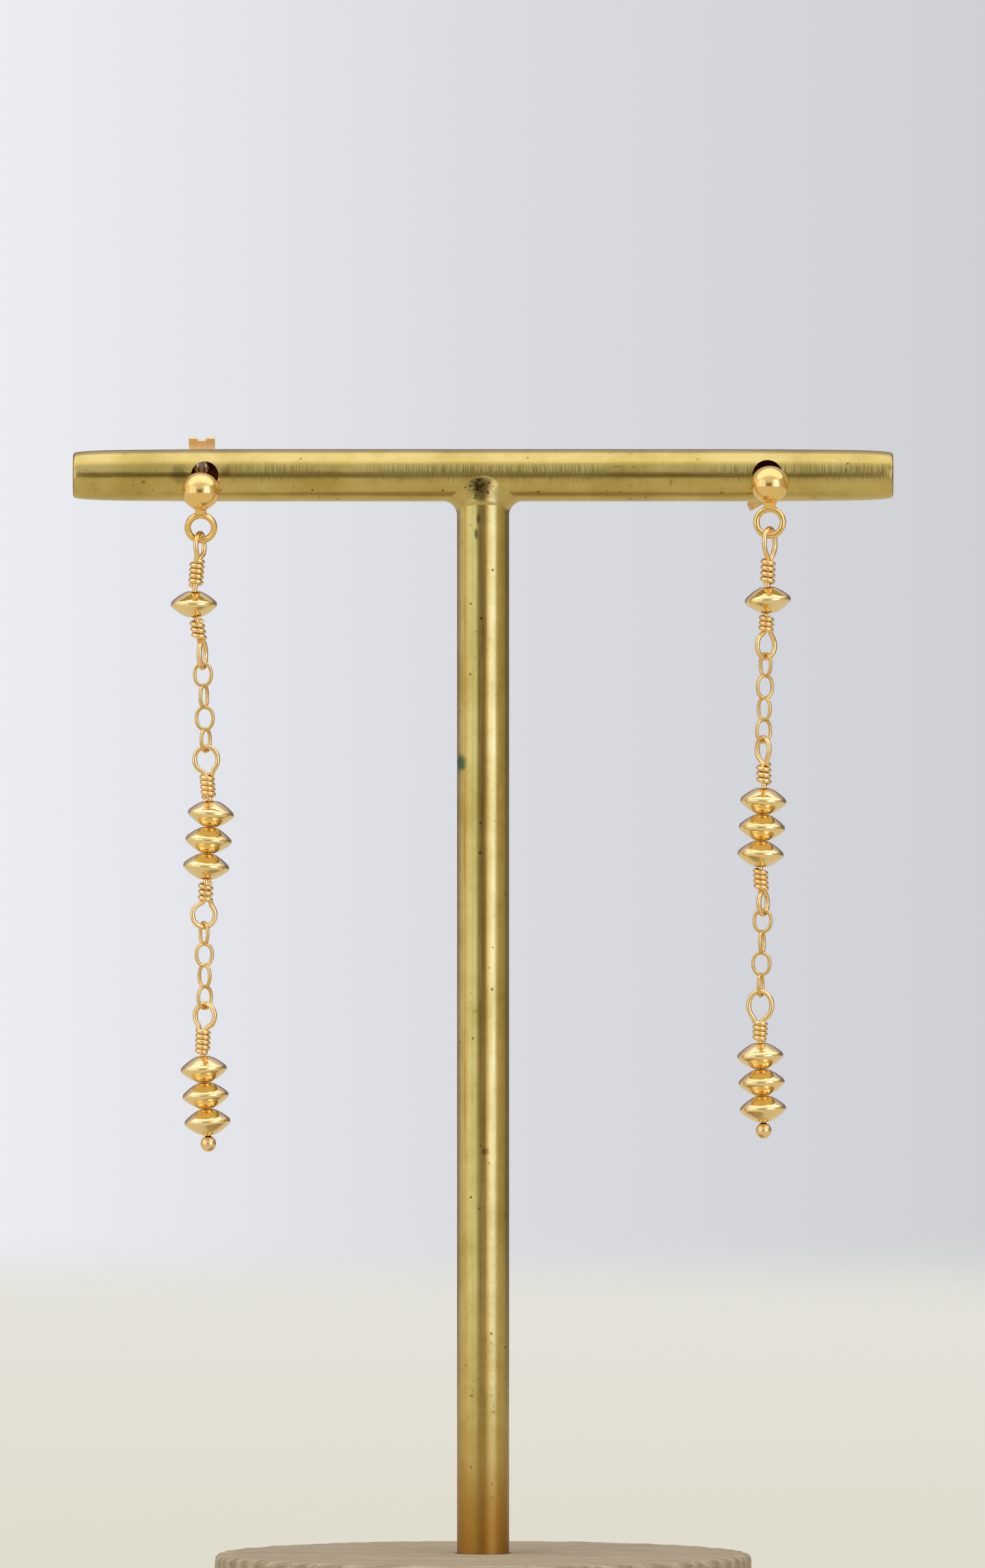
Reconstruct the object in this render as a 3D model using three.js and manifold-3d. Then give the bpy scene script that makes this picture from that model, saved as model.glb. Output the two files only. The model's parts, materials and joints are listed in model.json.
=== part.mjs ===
// A pair of bead-and-chain dangle earrings hanging on a brass T-bar stand with a round wooden base.
// Lengths are millimetres and +Z is up. The origin is the bottom centre of the base, the crossbar
// runs along X, and the earrings face -Y. "Fall" is a height measured down from the bar's centre line.
import * as THREE from "three";
import { mergeVertices } from "three/addons/utils/BufferGeometryUtils.js";
import Module from "manifold-3d";

const wasm = await Module();
wasm.setup();

// ---------------------------------------------------------------- driving dimensions

const BASE = { radius: 28.5, thickness: 15.6, edgeRound: 0.6, socketRadius: 3.0, socketDepth: 8 };
const TUBE = { radius: 2.775, wall: 0.5 }; // brass tube of the crossbar and of the pole
const BAR = { length: 87, height: 130, mouth: 1.7, mouthDepth: 2 }; // height of its centre line
const SOLDER = { fillet: 1.45, halfDepth: 1.5, buried: 0.4 }; // where the pole meets the crossbar
const POLE = { gap: 0.3, topFall: 1 }; // gap under its foot; its top is inside the crossbar
const EXIT_HOLE = 0.75; // radius of the hole where a post leaves the back of the crossbar

// Sides of the round solids, from the coarsest that keeps its shape.
const SIDES = {
  base: 48,
  tube: 28,
  bead: 20,
  drill: 20,
  pinHole: 16,
  neck: 12,
  wraps: 10,
  post: 8,
  chain: 8,
  wire: 6,
};

// The crossbar draws in towards its cut ends.
const BAR_TAPER = [
  { fromEnd: 0.0, radius: 2.2 },
  { fromEnd: 0.35, radius: 2.45 },
  { fromEnd: 1.3, radius: 2.56 },
  { fromEnd: 3.3, radius: 2.66 },
  { fromEnd: 18.0, radius: 2.775 },
];

const STUD = { ball: 2.0, post: 0.4, postReach: 12.6, ringRadius: 1.4, ringWire: 0.35, ballY: -4.45 };
const NECK = { radius: 0.9, depth: 0.55, from: 1.7, to: 2.75 }; // solder between ball and ring
const CLUTCH = { width: 3.0, strip: 0.3, curl: 1.0, curlAt: 1.85, curlSweep: 285, hole: 0.5, gap: 0.12 };
const WIRE = 0.27; // radius of the wrapping wire
const WRAP = { valley: 0.65, crest: 0.81, pitch: 0.59 }; // coils of wire wound round the core
const LOOP = { width: 3.0, mouth: 14, intoWraps: 0.1, steps: 18 }; // outer width, half its open angle, and
// how far its foot goes into the wraps; its height is in the tables below
const CORE = { intoWraps: 1, intoBead: 0.2 }; // overlap of the straight wires that make the core
const SAUCER = { radius: 2.45, rim: 0.5, halfHeight: 1.36, collar: 1.05, bore: 0.45, pitch: 2.8 };
const SEAT = 0.06; // gap between a bead and the wraps or the bead beside it
const PIN_END = { radius: 0.82, gap: 0.12 }; // ball that stops the lowest bead
const CHAIN = { radius: 1.05, gap: 0.12 }; // outside of the cable chain, as one tube
const RUNNING_GAP = 0.12; // between the stud's ring and the loop that swings in it

// One row per hard piece, from the top down. Columns: fall of the top of its upper loop (the first
// hangs in the stud's ring); x, turn from facing the viewer (degrees), height of each loop; x and
// length of each set of wraps; bare wire above the beads; x and lean (degrees) of the bead stack.
const EARRINGS = [
  {
    side: "left",
    stud: { x: -29.9, fall: 1.71, tilt: 20, ringDrop: 4.12, holeX: -29.5, holeRadius: 1.45, clutchTurn: 0 },
    links: [
      {
        name: "eye_link_1",
        upper: { loopX: -30.0, turn: 70, loop: 3.06, wrapX: -30.4, wraps: 3.0 },
        stack: { bare: 0.34, beads: 1, x: -30.65, lean: 0 },
        lower: { wrapX: -30.2, wraps: 2.3, loopX: -29.75, turn: 75, loop: 3.3 },
      },
      {
        name: "eye_link_2",
        top: 28.5,
        upper: { loopX: -29.35, turn: 0, loop: 3.14, wrapX: -29.25, wraps: 2.77 },
        stack: { bare: 0.08, beads: 3, x: -29.1, lean: 5 },
        lower: { wrapX: -29.35, wraps: 2.25, loopX: -29.6, turn: 15, loop: 2.97 },
      },
      {
        name: "head_pin",
        top: 55.77,
        upper: { loopX: -29.49, turn: -33, loop: 2.97, wrapX: -29.75, wraps: 2.75 },
        stack: { bare: 0.08, beads: 3, x: -29.42, lean: -4 },
      },
    ],
  },
  {
    side: "right",
    stud: { x: 30.35, fall: 1.03, tilt: -1, ringDrop: 4.0, holeX: 30.15, holeRadius: 1.6, clutchTurn: 62 },
    links: [
      {
        name: "eye_link_1",
        upper: { loopX: 30.35, turn: 62, loop: 3.44, wrapX: 30.15, wraps: 2.9 },
        stack: { bare: 0.08, beads: 1, x: 30.15, lean: -4 },
        lower: { wrapX: 29.95, wraps: 1.9, loopX: 29.95, turn: 41, loop: 3.08 },
      },
      {
        name: "eye_link_2",
        top: 27.54,
        upper: { loopX: 29.67, turn: -60, loop: 2.97, wrapX: 29.75, wraps: 2.45 },
        stack: { bare: 0.16, beads: 3, x: 29.54, lean: 3 },
        lower: { wrapX: 29.4, wraps: 2.4, loopX: 29.65, turn: 68, loop: 2.84 },
      },
      {
        name: "head_pin",
        top: 54.39,
        upper: { loopX: 29.36, turn: 5, loop: 3.45, wrapX: 29.35, wraps: 2.2 },
        stack: { bare: 0.08, beads: 3, x: 29.5, lean: -3 },
      },
    ],
  },
];

// ---------------------------------------------------------------- finishes

const FINISH = {
  wood: { color: 0xa88c70, roughness: 0.75, metalness: 0 },
  brass: { color: 0xb8a25a, roughness: 0.3, metalness: 1 },
  goldFill: { color: 0xe3b45f, roughness: 0.15, metalness: 1 },
};

// ---------------------------------------------------------------- solids and meshes

const radians = THREE.MathUtils.degToRad;

/** Turns a closed three.js geometry into a solid that can be joined and cut. */
function solid(geometry) {
  const bare = geometry.clone();
  bare.deleteAttribute("normal");
  bare.deleteAttribute("uv");
  const merged = mergeVertices(bare, 1e-5);
  const vertProperties = Float32Array.from(merged.attributes.position.array);
  const triVerts = Uint32Array.from(merged.index.array);
  return new wasm.Manifold(new wasm.Mesh({ numProp: 3, vertProperties, triVerts }));
}

/** Joins closed geometries into one solid. */
function join(...geometries) {
  return geometries.map(solid).reduce((whole, piece) => whole.add(piece));
}

/** Turns a solid back into a three.js geometry. */
function geometryOf(body) {
  const { vertProperties, triVerts } = body.getMesh();
  const geometry = new THREE.BufferGeometry();
  geometry.setAttribute("position", new THREE.BufferAttribute(vertProperties, 3));
  geometry.setIndex(new THREE.BufferAttribute(triVerts, 1));
  return geometry;
}

/** Makes one named mesh with its own material. */
function piece(name, geometry, finish) {
  const mesh = new THREE.Mesh(geometry, new THREE.MeshStandardMaterial(finish));
  mesh.name = name;
  return mesh;
}

/** A lathe about +Z from [radius, height] pairs that start and end on the axis or close. */
function lathe(profile, sides) {
  const points = profile.map(([radius, height]) => new THREE.Vector2(radius, height));
  return new THREE.LatheGeometry(points, sides).rotateX(Math.PI / 2);
}

/** A solid rod about +Z between two heights. */
function rod(radius, low, high, sides) {
  return lathe([[0, low], [radius, low], [radius, high], [0, high]], sides);
}

/** A solid round wire along a curve. */
function wireAlong(curve, radius, sides, steps) {
  const section = new THREE.Shape();
  for (let i = 0; i < sides; i += 1) {
    const angle = (2 * Math.PI * i) / sides;
    const [x, y] = [radius * Math.cos(angle), radius * Math.sin(angle)];
    if (i === 0) section.moveTo(x, y);
    else section.lineTo(x, y);
  }
  return new THREE.ExtrudeGeometry(section, { steps, bevelEnabled: false, extrudePath: curve });
}

// ---------------------------------------------------------------- the stand

/** Round wooden foot with softened edges and a blind socket for the pole. */
function standBase() {
  const { radius, thickness, edgeRound, socketRadius, socketDepth } = BASE;
  const floor = thickness - socketDepth;
  const profile = [
    [0, 0],
    [radius - edgeRound, 0],
    [radius, edgeRound],
    [radius, thickness - edgeRound],
    [radius - edgeRound, thickness],
    [socketRadius, thickness],
    [socketRadius, floor],
    [0, floor],
  ];
  return piece("stand_base", lathe(profile, SIDES.base), FINISH.wood);
}

/** The crossbar's outside, drawn in towards both ends, about +X through the origin. */
function crossbarOutside() {
  const half = BAR.length / 2;
  const left = BAR_TAPER.map(({ fromEnd, radius }) => [radius, fromEnd - half]);
  const right = BAR_TAPER.map(({ fromEnd, radius }) => [radius, half - fromEnd]).reverse();
  return lathe([[0, -half], ...left, ...right, [0, half]], SIDES.tube).rotateY(Math.PI / 2);
}

/** Web of solder with hollow sides that fills the two corners under the crossbar. */
function solderFillet() {
  const { radius } = TUBE;
  const { fillet, halfDepth, buried } = SOLDER;
  const web = new THREE.Shape();
  web.moveTo(-radius - fillet, -radius + buried);
  web.lineTo(radius + fillet, -radius + buried);
  web.lineTo(radius + fillet, -radius);
  web.absarc(radius + fillet, -radius - fillet, fillet, Math.PI / 2, Math.PI, false);
  web.lineTo(-radius, -radius - fillet);
  web.absarc(-radius - fillet, -radius - fillet, fillet, 0, Math.PI / 2, false);
  const options = { depth: 2 * halfDepth, bevelEnabled: false, curveSegments: 5 };
  return new THREE.ExtrudeGeometry(web, options).rotateX(Math.PI / 2).translate(0, halfDepth, 0);
}

/** Holes for a post: a wide one in front, and a close one where the tilted post comes out. */
function postHoles(stud) {
  const { radius, wall } = TUBE;
  const through = 2 * radius;
  const front = rod(stud.holeRadius, 0, through, SIDES.drill).rotateX(Math.PI / 2);
  const back = rod(EXIT_HOLE, -through, 0, SIDES.drill).rotateX(Math.PI / 2);
  const toExit = radius - wall / 2 - STUD.ballY;
  const exitZ = toExit * Math.tan(radians(stud.tilt)) - stud.fall;
  return [front.translate(stud.holeX, 0, 0), back.translate(stud.x, 0, exitZ)].map(solid);
}

/** Crossbar and pole of brass tube soldered into one T, with drilled holes for each post. */
function tBar() {
  const { radius, wall } = TUBE;
  const bore = radius - wall;
  const foot = BASE.thickness - BASE.socketDepth + POLE.gap - BAR.height;
  const outside = join(crossbarOutside(), rod(radius, foot, -POLE.topFall, SIDES.tube), solderFillet());
  const boreHalf = BAR.length / 2 - BAR.mouthDepth;
  const barBore = rod(bore, -boreHalf, boreHalf, SIDES.tube).rotateY(Math.PI / 2);
  const barMouth = rod(BAR.mouth, -BAR.length, BAR.length, SIDES.tube).rotateY(Math.PI / 2);
  const poleBore = rod(bore, 2 * foot, -radius - wall / 2, SIDES.tube);
  let tee = outside.subtract(join(barBore, barMouth)).subtract(solid(poleBore));
  for (const { stud } of EARRINGS) {
    for (const hole of postHoles(stud)) tee = tee.subtract(hole);
  }
  const mesh = piece("t_bar", geometryOf(tee), FINISH.brass);
  mesh.position.z = BAR.height;
  return mesh;
}

// ---------------------------------------------------------------- stud and clutch

/** Ball, soldered ring and post, made upright with the post along +Y, then tilted about X. */
function studMesh(side, stud) {
  const ball = new THREE.SphereGeometry(STUD.ball, 20, 12);
  const post = rod(STUD.post, 0, STUD.postReach, SIDES.post).rotateX(-Math.PI / 2);
  const ring = new THREE.TorusGeometry(STUD.ringRadius, STUD.ringWire, 8, 24).rotateX(Math.PI / 2);
  ring.translate(0, 0, -stud.ringDrop);
  const neck = rod(NECK.radius, -NECK.to, -NECK.from, SIDES.neck).scale(1, NECK.depth / NECK.radius, 1);
  const mesh = piece(`${side}_stud`, geometryOf(join(ball, post, ring, neck)), FINISH.goldFill);
  placeOnPost(mesh, stud);
  return mesh;
}

/** Puts a mesh made about its post's axis at the ball's centre, tilted as the post is. */
function placeOnPost(mesh, stud) {
  mesh.position.set(stud.x, STUD.ballY, BAR.height - stud.fall);
  mesh.rotation.x = radians(stud.tilt);
}

/** Side view of the clutch's strip: a flat middle whose ends curl back towards the post. */
function clutchStrip() {
  const { strip, curl, curlAt, curlSweep } = CLUTCH;
  const steps = 9;
  const outer = [];
  const inner = [];
  for (let i = 0; i <= steps; i += 1) {
    const angle = radians(-90 + (curlSweep * i) / steps);
    const [cos, sin] = [Math.cos(angle), Math.sin(angle)];
    outer.push([curlAt + (curl + strip / 2) * cos, curl + (curl + strip / 2) * sin]);
    inner.push([curlAt + (curl - strip / 2) * cos, curl + (curl - strip / 2) * sin]);
  }
  const half = [...outer, ...inner.reverse()];
  const mirrored = half.map(([u, w]) => [-u, w]).reverse();
  return new THREE.Shape([...half, ...mirrored].map(([u, w]) => new THREE.Vector2(u, w)));
}

/** Butterfly clutch pushed on the post up to the back of the crossbar. */
function clutchMesh(side, stud) {
  const tilt = radians(stud.tilt);
  const toBar = -STUD.ballY * Math.cos(tilt) + stud.fall * Math.sin(tilt);
  const plateAt = toBar + TUBE.radius + CLUTCH.gap + CLUTCH.strip / 2;
  const strip = new THREE.ExtrudeGeometry(clutchStrip(), { depth: CLUTCH.width, bevelEnabled: false });
  strip.translate(0, 0, -CLUTCH.width / 2); // strip length on X, curl height on Y, width on Z
  const hole = rod(CLUTCH.hole, -CLUTCH.strip, CLUTCH.strip, SIDES.pinHole).rotateX(Math.PI / 2);
  const body = geometryOf(solid(strip).subtract(solid(hole)));
  body.rotateY(radians(90 + stud.clutchTurn)).translate(0, plateAt, 0);
  const mesh = piece(`${side}_clutch`, body, FINISH.goldFill);
  placeOnPost(mesh, stud);
  return mesh;
}

// ---------------------------------------------------------------- wire, beads and chain

/** A wrapped loop's wire, open at its foot, whose two ends are buried in the wraps. */
class LoopCurve extends THREE.Curve {
  constructor(x, z, height, turn, points) {
    super();
    Object.assign(this, { x, z, height, turn: radians(turn), points });
  }

  getPoint(t, target = new THREE.Vector3()) {
    const mouth = radians(LOOP.mouth);
    const angle = -Math.PI / 2 + mouth + t * (2 * Math.PI - 2 * mouth);
    const across = (LOOP.width / 2 - WIRE) * Math.cos(angle);
    const along = (this.height / 2 - WIRE) * Math.sin(angle) * this.points;
    return target.set(
      this.x + across * Math.cos(this.turn),
      across * Math.sin(this.turn),
      this.z + along,
    );
  }
}

/** A wrapped loop at one end of a link; points is 1 with the loop above its wraps, -1 below. */
function loopWire(end, centre, points) {
  const curve = new LoopCurve(end.loopX, centre, end.loop + LOOP.intoWraps, end.turn, points);
  return wireAlong(curve, WIRE, SIDES.wire, LOOP.steps);
}

/** Coils of wire wound close round the core, with a groove between one turn and the next. */
function wraps(x, high, low) {
  const turns = Math.max(2, Math.round((high - low) / WRAP.pitch));
  const pitch = (high - low) / turns;
  const profile = [[0, low], [WRAP.valley, low]];
  for (let i = 0; i < turns; i += 1) {
    profile.push([WRAP.crest, low + (i + 0.5) * pitch], [WRAP.valley, low + (i + 1) * pitch]);
  }
  profile.push([0, high]);
  return lathe(profile, SIDES.wraps).translate(x, 0, 0);
}

/** Straight wire between two points of the XZ plane. */
function straightWire(from, to) {
  const [start, end] = [from, to].map(([x, z]) => new THREE.Vector3(x, 0, z));
  return wireAlong(new THREE.LineCurve3(start, end), WIRE, SIDES.wire, 1);
}

/** Saucer bead: two shallow cones with a rounded rim between them and a bore for the wire. */
function saucerGeometry() {
  const { radius, rim, halfHeight, collar, bore } = SAUCER;
  const quarter = [];
  for (const angle of [0, 45].map(radians)) {
    quarter.push([radius - rim + rim * Math.cos(angle), rim * Math.sin(angle)]);
  }
  quarter.push([collar, halfHeight], [bore, halfHeight]);
  const mirrored = quarter.slice(1).map(([r, z]) => [r, -z]).reverse();
  return lathe([...mirrored, ...quarter, mirrored[0]], SIDES.bead);
}

/** Where everything on one link lies, worked out downwards from the top of its upper loop. */
function layOut(link) {
  const top = -link.top;
  const { upper, stack, lower } = link;
  const upperFoot = top - upper.loop;
  const stackTop = upperFoot - upper.wraps - stack.bare;
  const stackMid = stackTop - (stack.beads * SAUCER.pitch) / 2;
  const stackEnd = stackTop - stack.beads * SAUCER.pitch;
  const slope = Math.tan(radians(stack.lean));
  const stackX = (z) => stack.x + (z - stackMid) * slope;
  const lowerHead = stackEnd - SEAT;
  const lowerFoot = lower ? lowerHead - lower.wraps : null;
  const bottom = lower ? lowerFoot - lower.loop : null;
  return { top, upperFoot, stackTop, stackMid, stackEnd, stackX, lowerHead, lowerFoot, bottom };
}

/** The wire of one link: an upper loop and wraps, the core through the beads, and its lower end. */
function linkWire(link) {
  const at = layOut(link);
  const { upper, lower } = link;
  const wrapEnd = at.upperFoot - upper.wraps;
  const [enter, leave] = [at.stackX(at.stackTop), at.stackX(at.stackEnd)];
  const parts = [
    loopWire(upper, (at.top + at.upperFoot - LOOP.intoWraps) / 2, 1),
    wraps(upper.wrapX, at.upperFoot + LOOP.intoWraps, wrapEnd),
    straightWire([upper.wrapX, wrapEnd + CORE.intoWraps], [enter, at.stackTop - CORE.intoBead]),
  ];
  if (lower) {
    parts.push(
      straightWire([enter, at.stackTop], [leave, at.stackEnd]),
      straightWire([leave, at.stackEnd + CORE.intoBead], [lower.wrapX, at.lowerHead - CORE.intoWraps]),
      wraps(lower.wrapX, at.lowerHead, at.lowerFoot - LOOP.intoWraps),
      loopWire(lower, (at.lowerFoot + at.bottom + LOOP.intoWraps) / 2, -1),
    );
  } else {
    const ball = at.stackEnd - PIN_END.gap - PIN_END.radius;
    const tip = [at.stackX(ball), ball];
    parts.push(
      straightWire([enter, at.stackTop], tip),
      new THREE.SphereGeometry(PIN_END.radius, 12, 7).translate(tip[0], 0, tip[1]),
    );
  }
  return geometryOf(join(...parts));
}

/** The beads of one link, threaded on its leaning core. */
function linkBeads(side, link, firstNumber) {
  const at = layOut(link);
  const beads = [];
  for (let i = 0; i < link.stack.beads; i += 1) {
    const z = at.stackTop - (i + 0.5) * SAUCER.pitch;
    const bead = piece(`${side}_saucer_${firstNumber + i}`, saucerGeometry(), FINISH.goldFill);
    bead.position.set(at.stackX(z), 0, z);
    bead.rotation.y = radians(link.stack.lean);
    beads.push(bead);
  }
  return beads;
}

/** Cable chain between the lower loop of one link and the upper loop of the next, as a tube. */
function chainTube(side, name, above, below) {
  const high = layOut(above).bottom - CHAIN.gap;
  const low = layOut(below).top + CHAIN.gap;
  const start = new THREE.Vector3(above.lower.loopX, 0, high);
  const end = new THREE.Vector3(below.upper.loopX, 0, low);
  const tube = wireAlong(new THREE.LineCurve3(start, end), CHAIN.radius, SIDES.chain, 2);
  return piece(`${side}_chain_${name}`, tube, FINISH.goldFill);
}

// ---------------------------------------------------------------- whole earring

/** Height, above the bar's centre line, and depth of the ring's lowest wire, where the drop hangs. */
function hangPoint(stud) {
  const reach = stud.ringDrop + STUD.ringRadius;
  const tilt = radians(stud.tilt);
  return { y: STUD.ballY + reach * Math.sin(tilt), z: -stud.fall - reach * Math.cos(tilt) };
}

/** Everything below the stud's ring, hanging straight down from the ring's lowest wire. */
function dropGroup(side, stud, links) {
  const hang = hangPoint(stud);
  const [first, ...rest] = links;
  const firstTop = -(hang.z + STUD.ringWire + RUNNING_GAP + 2 * WIRE);
  const hung = [{ ...first, top: firstTop }, ...rest];
  const drop = new THREE.Group();
  let number = 1;
  for (const link of hung) {
    drop.add(piece(`${side}_${link.name}`, linkWire(link), FINISH.goldFill));
    drop.add(...linkBeads(side, link, number));
    number += link.stack.beads;
  }
  drop.add(chainTube(side, "upper", hung[0], hung[1]), chainTube(side, "lower", hung[1], hung[2]));
  drop.position.set(0, hang.y, BAR.height);
  return drop;
}

const model = new THREE.Group();
model.add(standBase(), tBar());
for (const { side, stud, links } of EARRINGS) {
  model.add(studMesh(side, stud), clutchMesh(side, stud), dropGroup(side, stud, links));
}

export default model;
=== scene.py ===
"""Looks for a pair of bead-and-chain dangle earrings hanging on a brass T-bar display stand.

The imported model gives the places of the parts. Sizes are millimetres unless a comment says otherwise,
and each piece's object stands at the origin of the frame with its place in its mesh.
"""

from __future__ import annotations

import json
import logging
import math
from collections.abc import Callable
from dataclasses import dataclass
from enum import Enum
from random import Random

import bpy
from bpy.types import Material, Node, NodeSocket, NodeTree, Object
from mathutils import Matrix, Vector

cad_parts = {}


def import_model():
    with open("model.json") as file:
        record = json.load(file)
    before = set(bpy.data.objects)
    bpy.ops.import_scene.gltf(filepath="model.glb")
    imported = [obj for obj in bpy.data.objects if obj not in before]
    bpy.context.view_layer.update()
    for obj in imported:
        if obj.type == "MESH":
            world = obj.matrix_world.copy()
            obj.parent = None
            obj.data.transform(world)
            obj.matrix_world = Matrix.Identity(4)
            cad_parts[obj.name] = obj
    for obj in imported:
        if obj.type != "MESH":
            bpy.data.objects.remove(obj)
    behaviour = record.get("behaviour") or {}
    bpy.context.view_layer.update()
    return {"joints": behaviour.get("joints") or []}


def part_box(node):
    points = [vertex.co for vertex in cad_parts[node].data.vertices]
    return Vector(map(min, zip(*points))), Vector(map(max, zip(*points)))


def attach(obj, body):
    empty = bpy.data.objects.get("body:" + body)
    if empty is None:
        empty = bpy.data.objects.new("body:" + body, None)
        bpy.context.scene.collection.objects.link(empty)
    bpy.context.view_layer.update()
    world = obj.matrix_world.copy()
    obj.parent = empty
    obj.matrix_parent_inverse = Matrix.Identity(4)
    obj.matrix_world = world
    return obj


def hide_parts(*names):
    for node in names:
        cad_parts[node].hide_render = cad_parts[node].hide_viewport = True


LOG = logging.getLogger("earrings")
MM = 0.001
POINT = 1e-4  # radius, mm, of a ring that is then merged to a point
MERGE = 2e-7  # m, closer than which two vertices become one
WIRE_STEPS = 3  # bevel steps of a wire's section
BAR_HEIGHT = 130.0  # mm, of the crossbar's centre line above the table
TUBE = 2.775  # mm, outer radius of the stand's brass tube
TUBE_SIDES = 112
SMALL_SIDES = 32  # of the bores and balls that are a millimetre or so across

Place = tuple[float, float, float]
Colour = tuple[float, float, float, float]


class Slot(Enum):
    """Material slots of the record."""

    WOOD = "wood"
    BRASS = "brass"
    GOLD = "gold"


class Body(Enum):
    """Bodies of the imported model."""

    STAND = "stand"
    LEFT = "left_drop"
    RIGHT = "right_drop"


class Side(Enum):
    """Which earring of the pair."""

    LEFT = "left"
    RIGHT = "right"


class Axis(Enum):
    """Axis that a tube lies along."""

    X = 0
    Z = 2


class Wall(Enum):
    """Wall of the crossbar, by the way it faces along Y."""

    FRONT = -1
    BACK = 1


# ---------------------------------------------------------------- small tools


def srgb(code: str) -> Colour:
    """Turns a hex colour into linear light.

    Args:
        code: Colour as "#rrggbb" in sRGB.

    Returns:
        Linear red, green, blue and an alpha of one.
    """
    channels = [int(code[i : i + 2], 16) / 255 for i in (1, 3, 5)]
    linear = [c / 12.92 if c <= 0.04045 else ((c + 0.055) / 1.055) ** 2.4 for c in channels]
    return (linear[0], linear[1], linear[2], 1.0)


def deselect() -> None:
    """Clears the selection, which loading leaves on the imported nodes."""
    bpy.ops.object.select_all(action="DESELECT")


def pick(*pieces: Object) -> None:
    """Selects only these pieces and makes the first one active."""
    deselect()
    for piece in pieces:
        piece.select_set(True)
    bpy.context.view_layer.objects.active = pieces[0]


def finish_mesh(piece: Object, angle: float = 40.0) -> Object:
    """Merges doubles, turns the faces outwards and shades the piece smooth between its edges.

    Args:
        piece: Mesh to finish.
        angle: Angle in degrees above which an edge stays crisp.

    Returns:
        The same piece.
    """
    pick(piece)
    bpy.ops.object.mode_set(mode="EDIT")
    bpy.ops.mesh.select_all(action="SELECT")
    bpy.ops.mesh.remove_doubles(threshold=MERGE)
    bpy.ops.mesh.normals_make_consistent(inside=False)
    bpy.ops.object.mode_set(mode="OBJECT")
    bpy.ops.object.shade_smooth_by_angle(angle=math.radians(angle))
    return piece


def turned(name: str, rows: list[tuple[float, float]], sides: int, closed: bool = False) -> Object:
    """Draws a ring out row by row about +Z, as a lathe would cut it.

    Args:
        name: Name of the piece.
        rows: Radius and height of each row. A radius of zero closes to a point.
        sides: Vertices round the axis.
        closed: True if the last row meets the first, as round a bore.

    Returns:
        The turned piece.
    """
    deselect()
    radius, height = max(rows[0][0], POINT), rows[0][1]
    bpy.ops.mesh.primitive_circle_add(vertices=sides, radius=radius * MM)
    piece = bpy.context.object
    piece.name = name
    bpy.ops.object.mode_set(mode="EDIT")
    bpy.ops.mesh.select_all(action="SELECT")
    bpy.ops.transform.translate(value=(0, 0, height * MM))
    for next_radius, next_height in rows[1:] + (rows[:1] if closed else []):
        next_radius = max(next_radius, POINT)
        grow = next_radius / radius
        rise = (0, 0, (next_height - height) * MM)
        bpy.ops.mesh.extrude_region_move(TRANSFORM_OT_translate={"value": rise})
        bpy.ops.transform.resize(value=(grow, grow, 1), center_override=(0, 0, next_height * MM))
        radius, height = next_radius, next_height
    bpy.ops.object.mode_set(mode="OBJECT")
    return finish_mesh(piece)


def reshape(piece: Object, place: Callable[[Vector], Vector]) -> None:
    """Moves each vertex of a piece.

    Args:
        piece: Mesh to reshape.
        place: Gives the new place of a point, both in mm.
    """
    for vertex in piece.data.vertices:
        vertex.co = place(vertex.co / MM) * MM
    piece.data.update()


def bent_wire(name: str, route: list[Vector], radius: float, closed: bool = False) -> Object:
    """Bends round wire along a smooth route.

    Args:
        name: Name of the piece.
        route: Points that pull the wire into shape, in mm.
        radius: Radius of the wire.
        closed: True for a ring, whose end meets its start.

    Returns:
        The wire as a closed mesh.
    """
    deselect()
    bpy.ops.curve.primitive_nurbs_path_add()
    piece = bpy.context.object
    piece.name = name
    curve = piece.data
    curve.splines.clear()
    line = curve.splines.new("NURBS")
    line.points.add(len(route) - 1)
    for point, place in zip(line.points, route, strict=True):
        point.co = (*(place * MM), 1.0)
    line.order_u = 4
    line.resolution_u = 3
    line.use_cyclic_u = closed
    line.use_endpoint_u = not closed
    curve.bevel_depth = radius * MM
    curve.bevel_resolution = WIRE_STEPS
    curve.use_fill_caps = not closed
    bpy.ops.object.convert(target="MESH")
    return finish_mesh(bpy.context.object, angle=55.0)


def tightness(step: float) -> float:
    """Returns how much smaller a bent circle comes out than the circle of the points that pull it.

    Args:
        step: Angle in radians from one point to the next.

    Returns:
        Radius of the bent wire over that of its points.
    """
    return (2 + math.cos(step)) / 3


def place_mesh(piece: Object, matrix: Matrix) -> Object:
    """Moves a piece and applies the move, so that its place is in its mesh.

    Args:
        piece: Piece to move.
        matrix: Where it goes, in metres.

    Returns:
        The same piece, back at the origin, unturned and unscaled.
    """
    pick(piece)
    piece.matrix_world = matrix
    bpy.ops.object.transform_apply(location=True, rotation=True, scale=True)
    return piece


def copy_piece(piece: Object, name: str, matrix: Matrix) -> Object:
    """Copies a piece with its own mesh and puts the copy in place.

    Args:
        piece: Piece that was modelled once.
        name: Name of the copy.
        matrix: Where the copy goes, in metres.

    Returns:
        The copy.
    """
    pick(piece)
    bpy.ops.object.duplicate()
    copied = bpy.context.object
    copied.name = name
    return place_mesh(copied, matrix)


def join(name: str, *pieces: Object) -> Object:
    """Joins pieces into one object.

    Args:
        name: Name of the joined object.
        *pieces: Pieces to join.

    Returns:
        The joined object.
    """
    pick(*pieces)
    bpy.ops.object.join()
    bpy.context.object.name = name
    return bpy.context.object


def remove(piece: Object) -> None:
    """Deletes a pattern piece or a cutter."""
    pick(piece)
    bpy.ops.object.delete()


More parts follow.
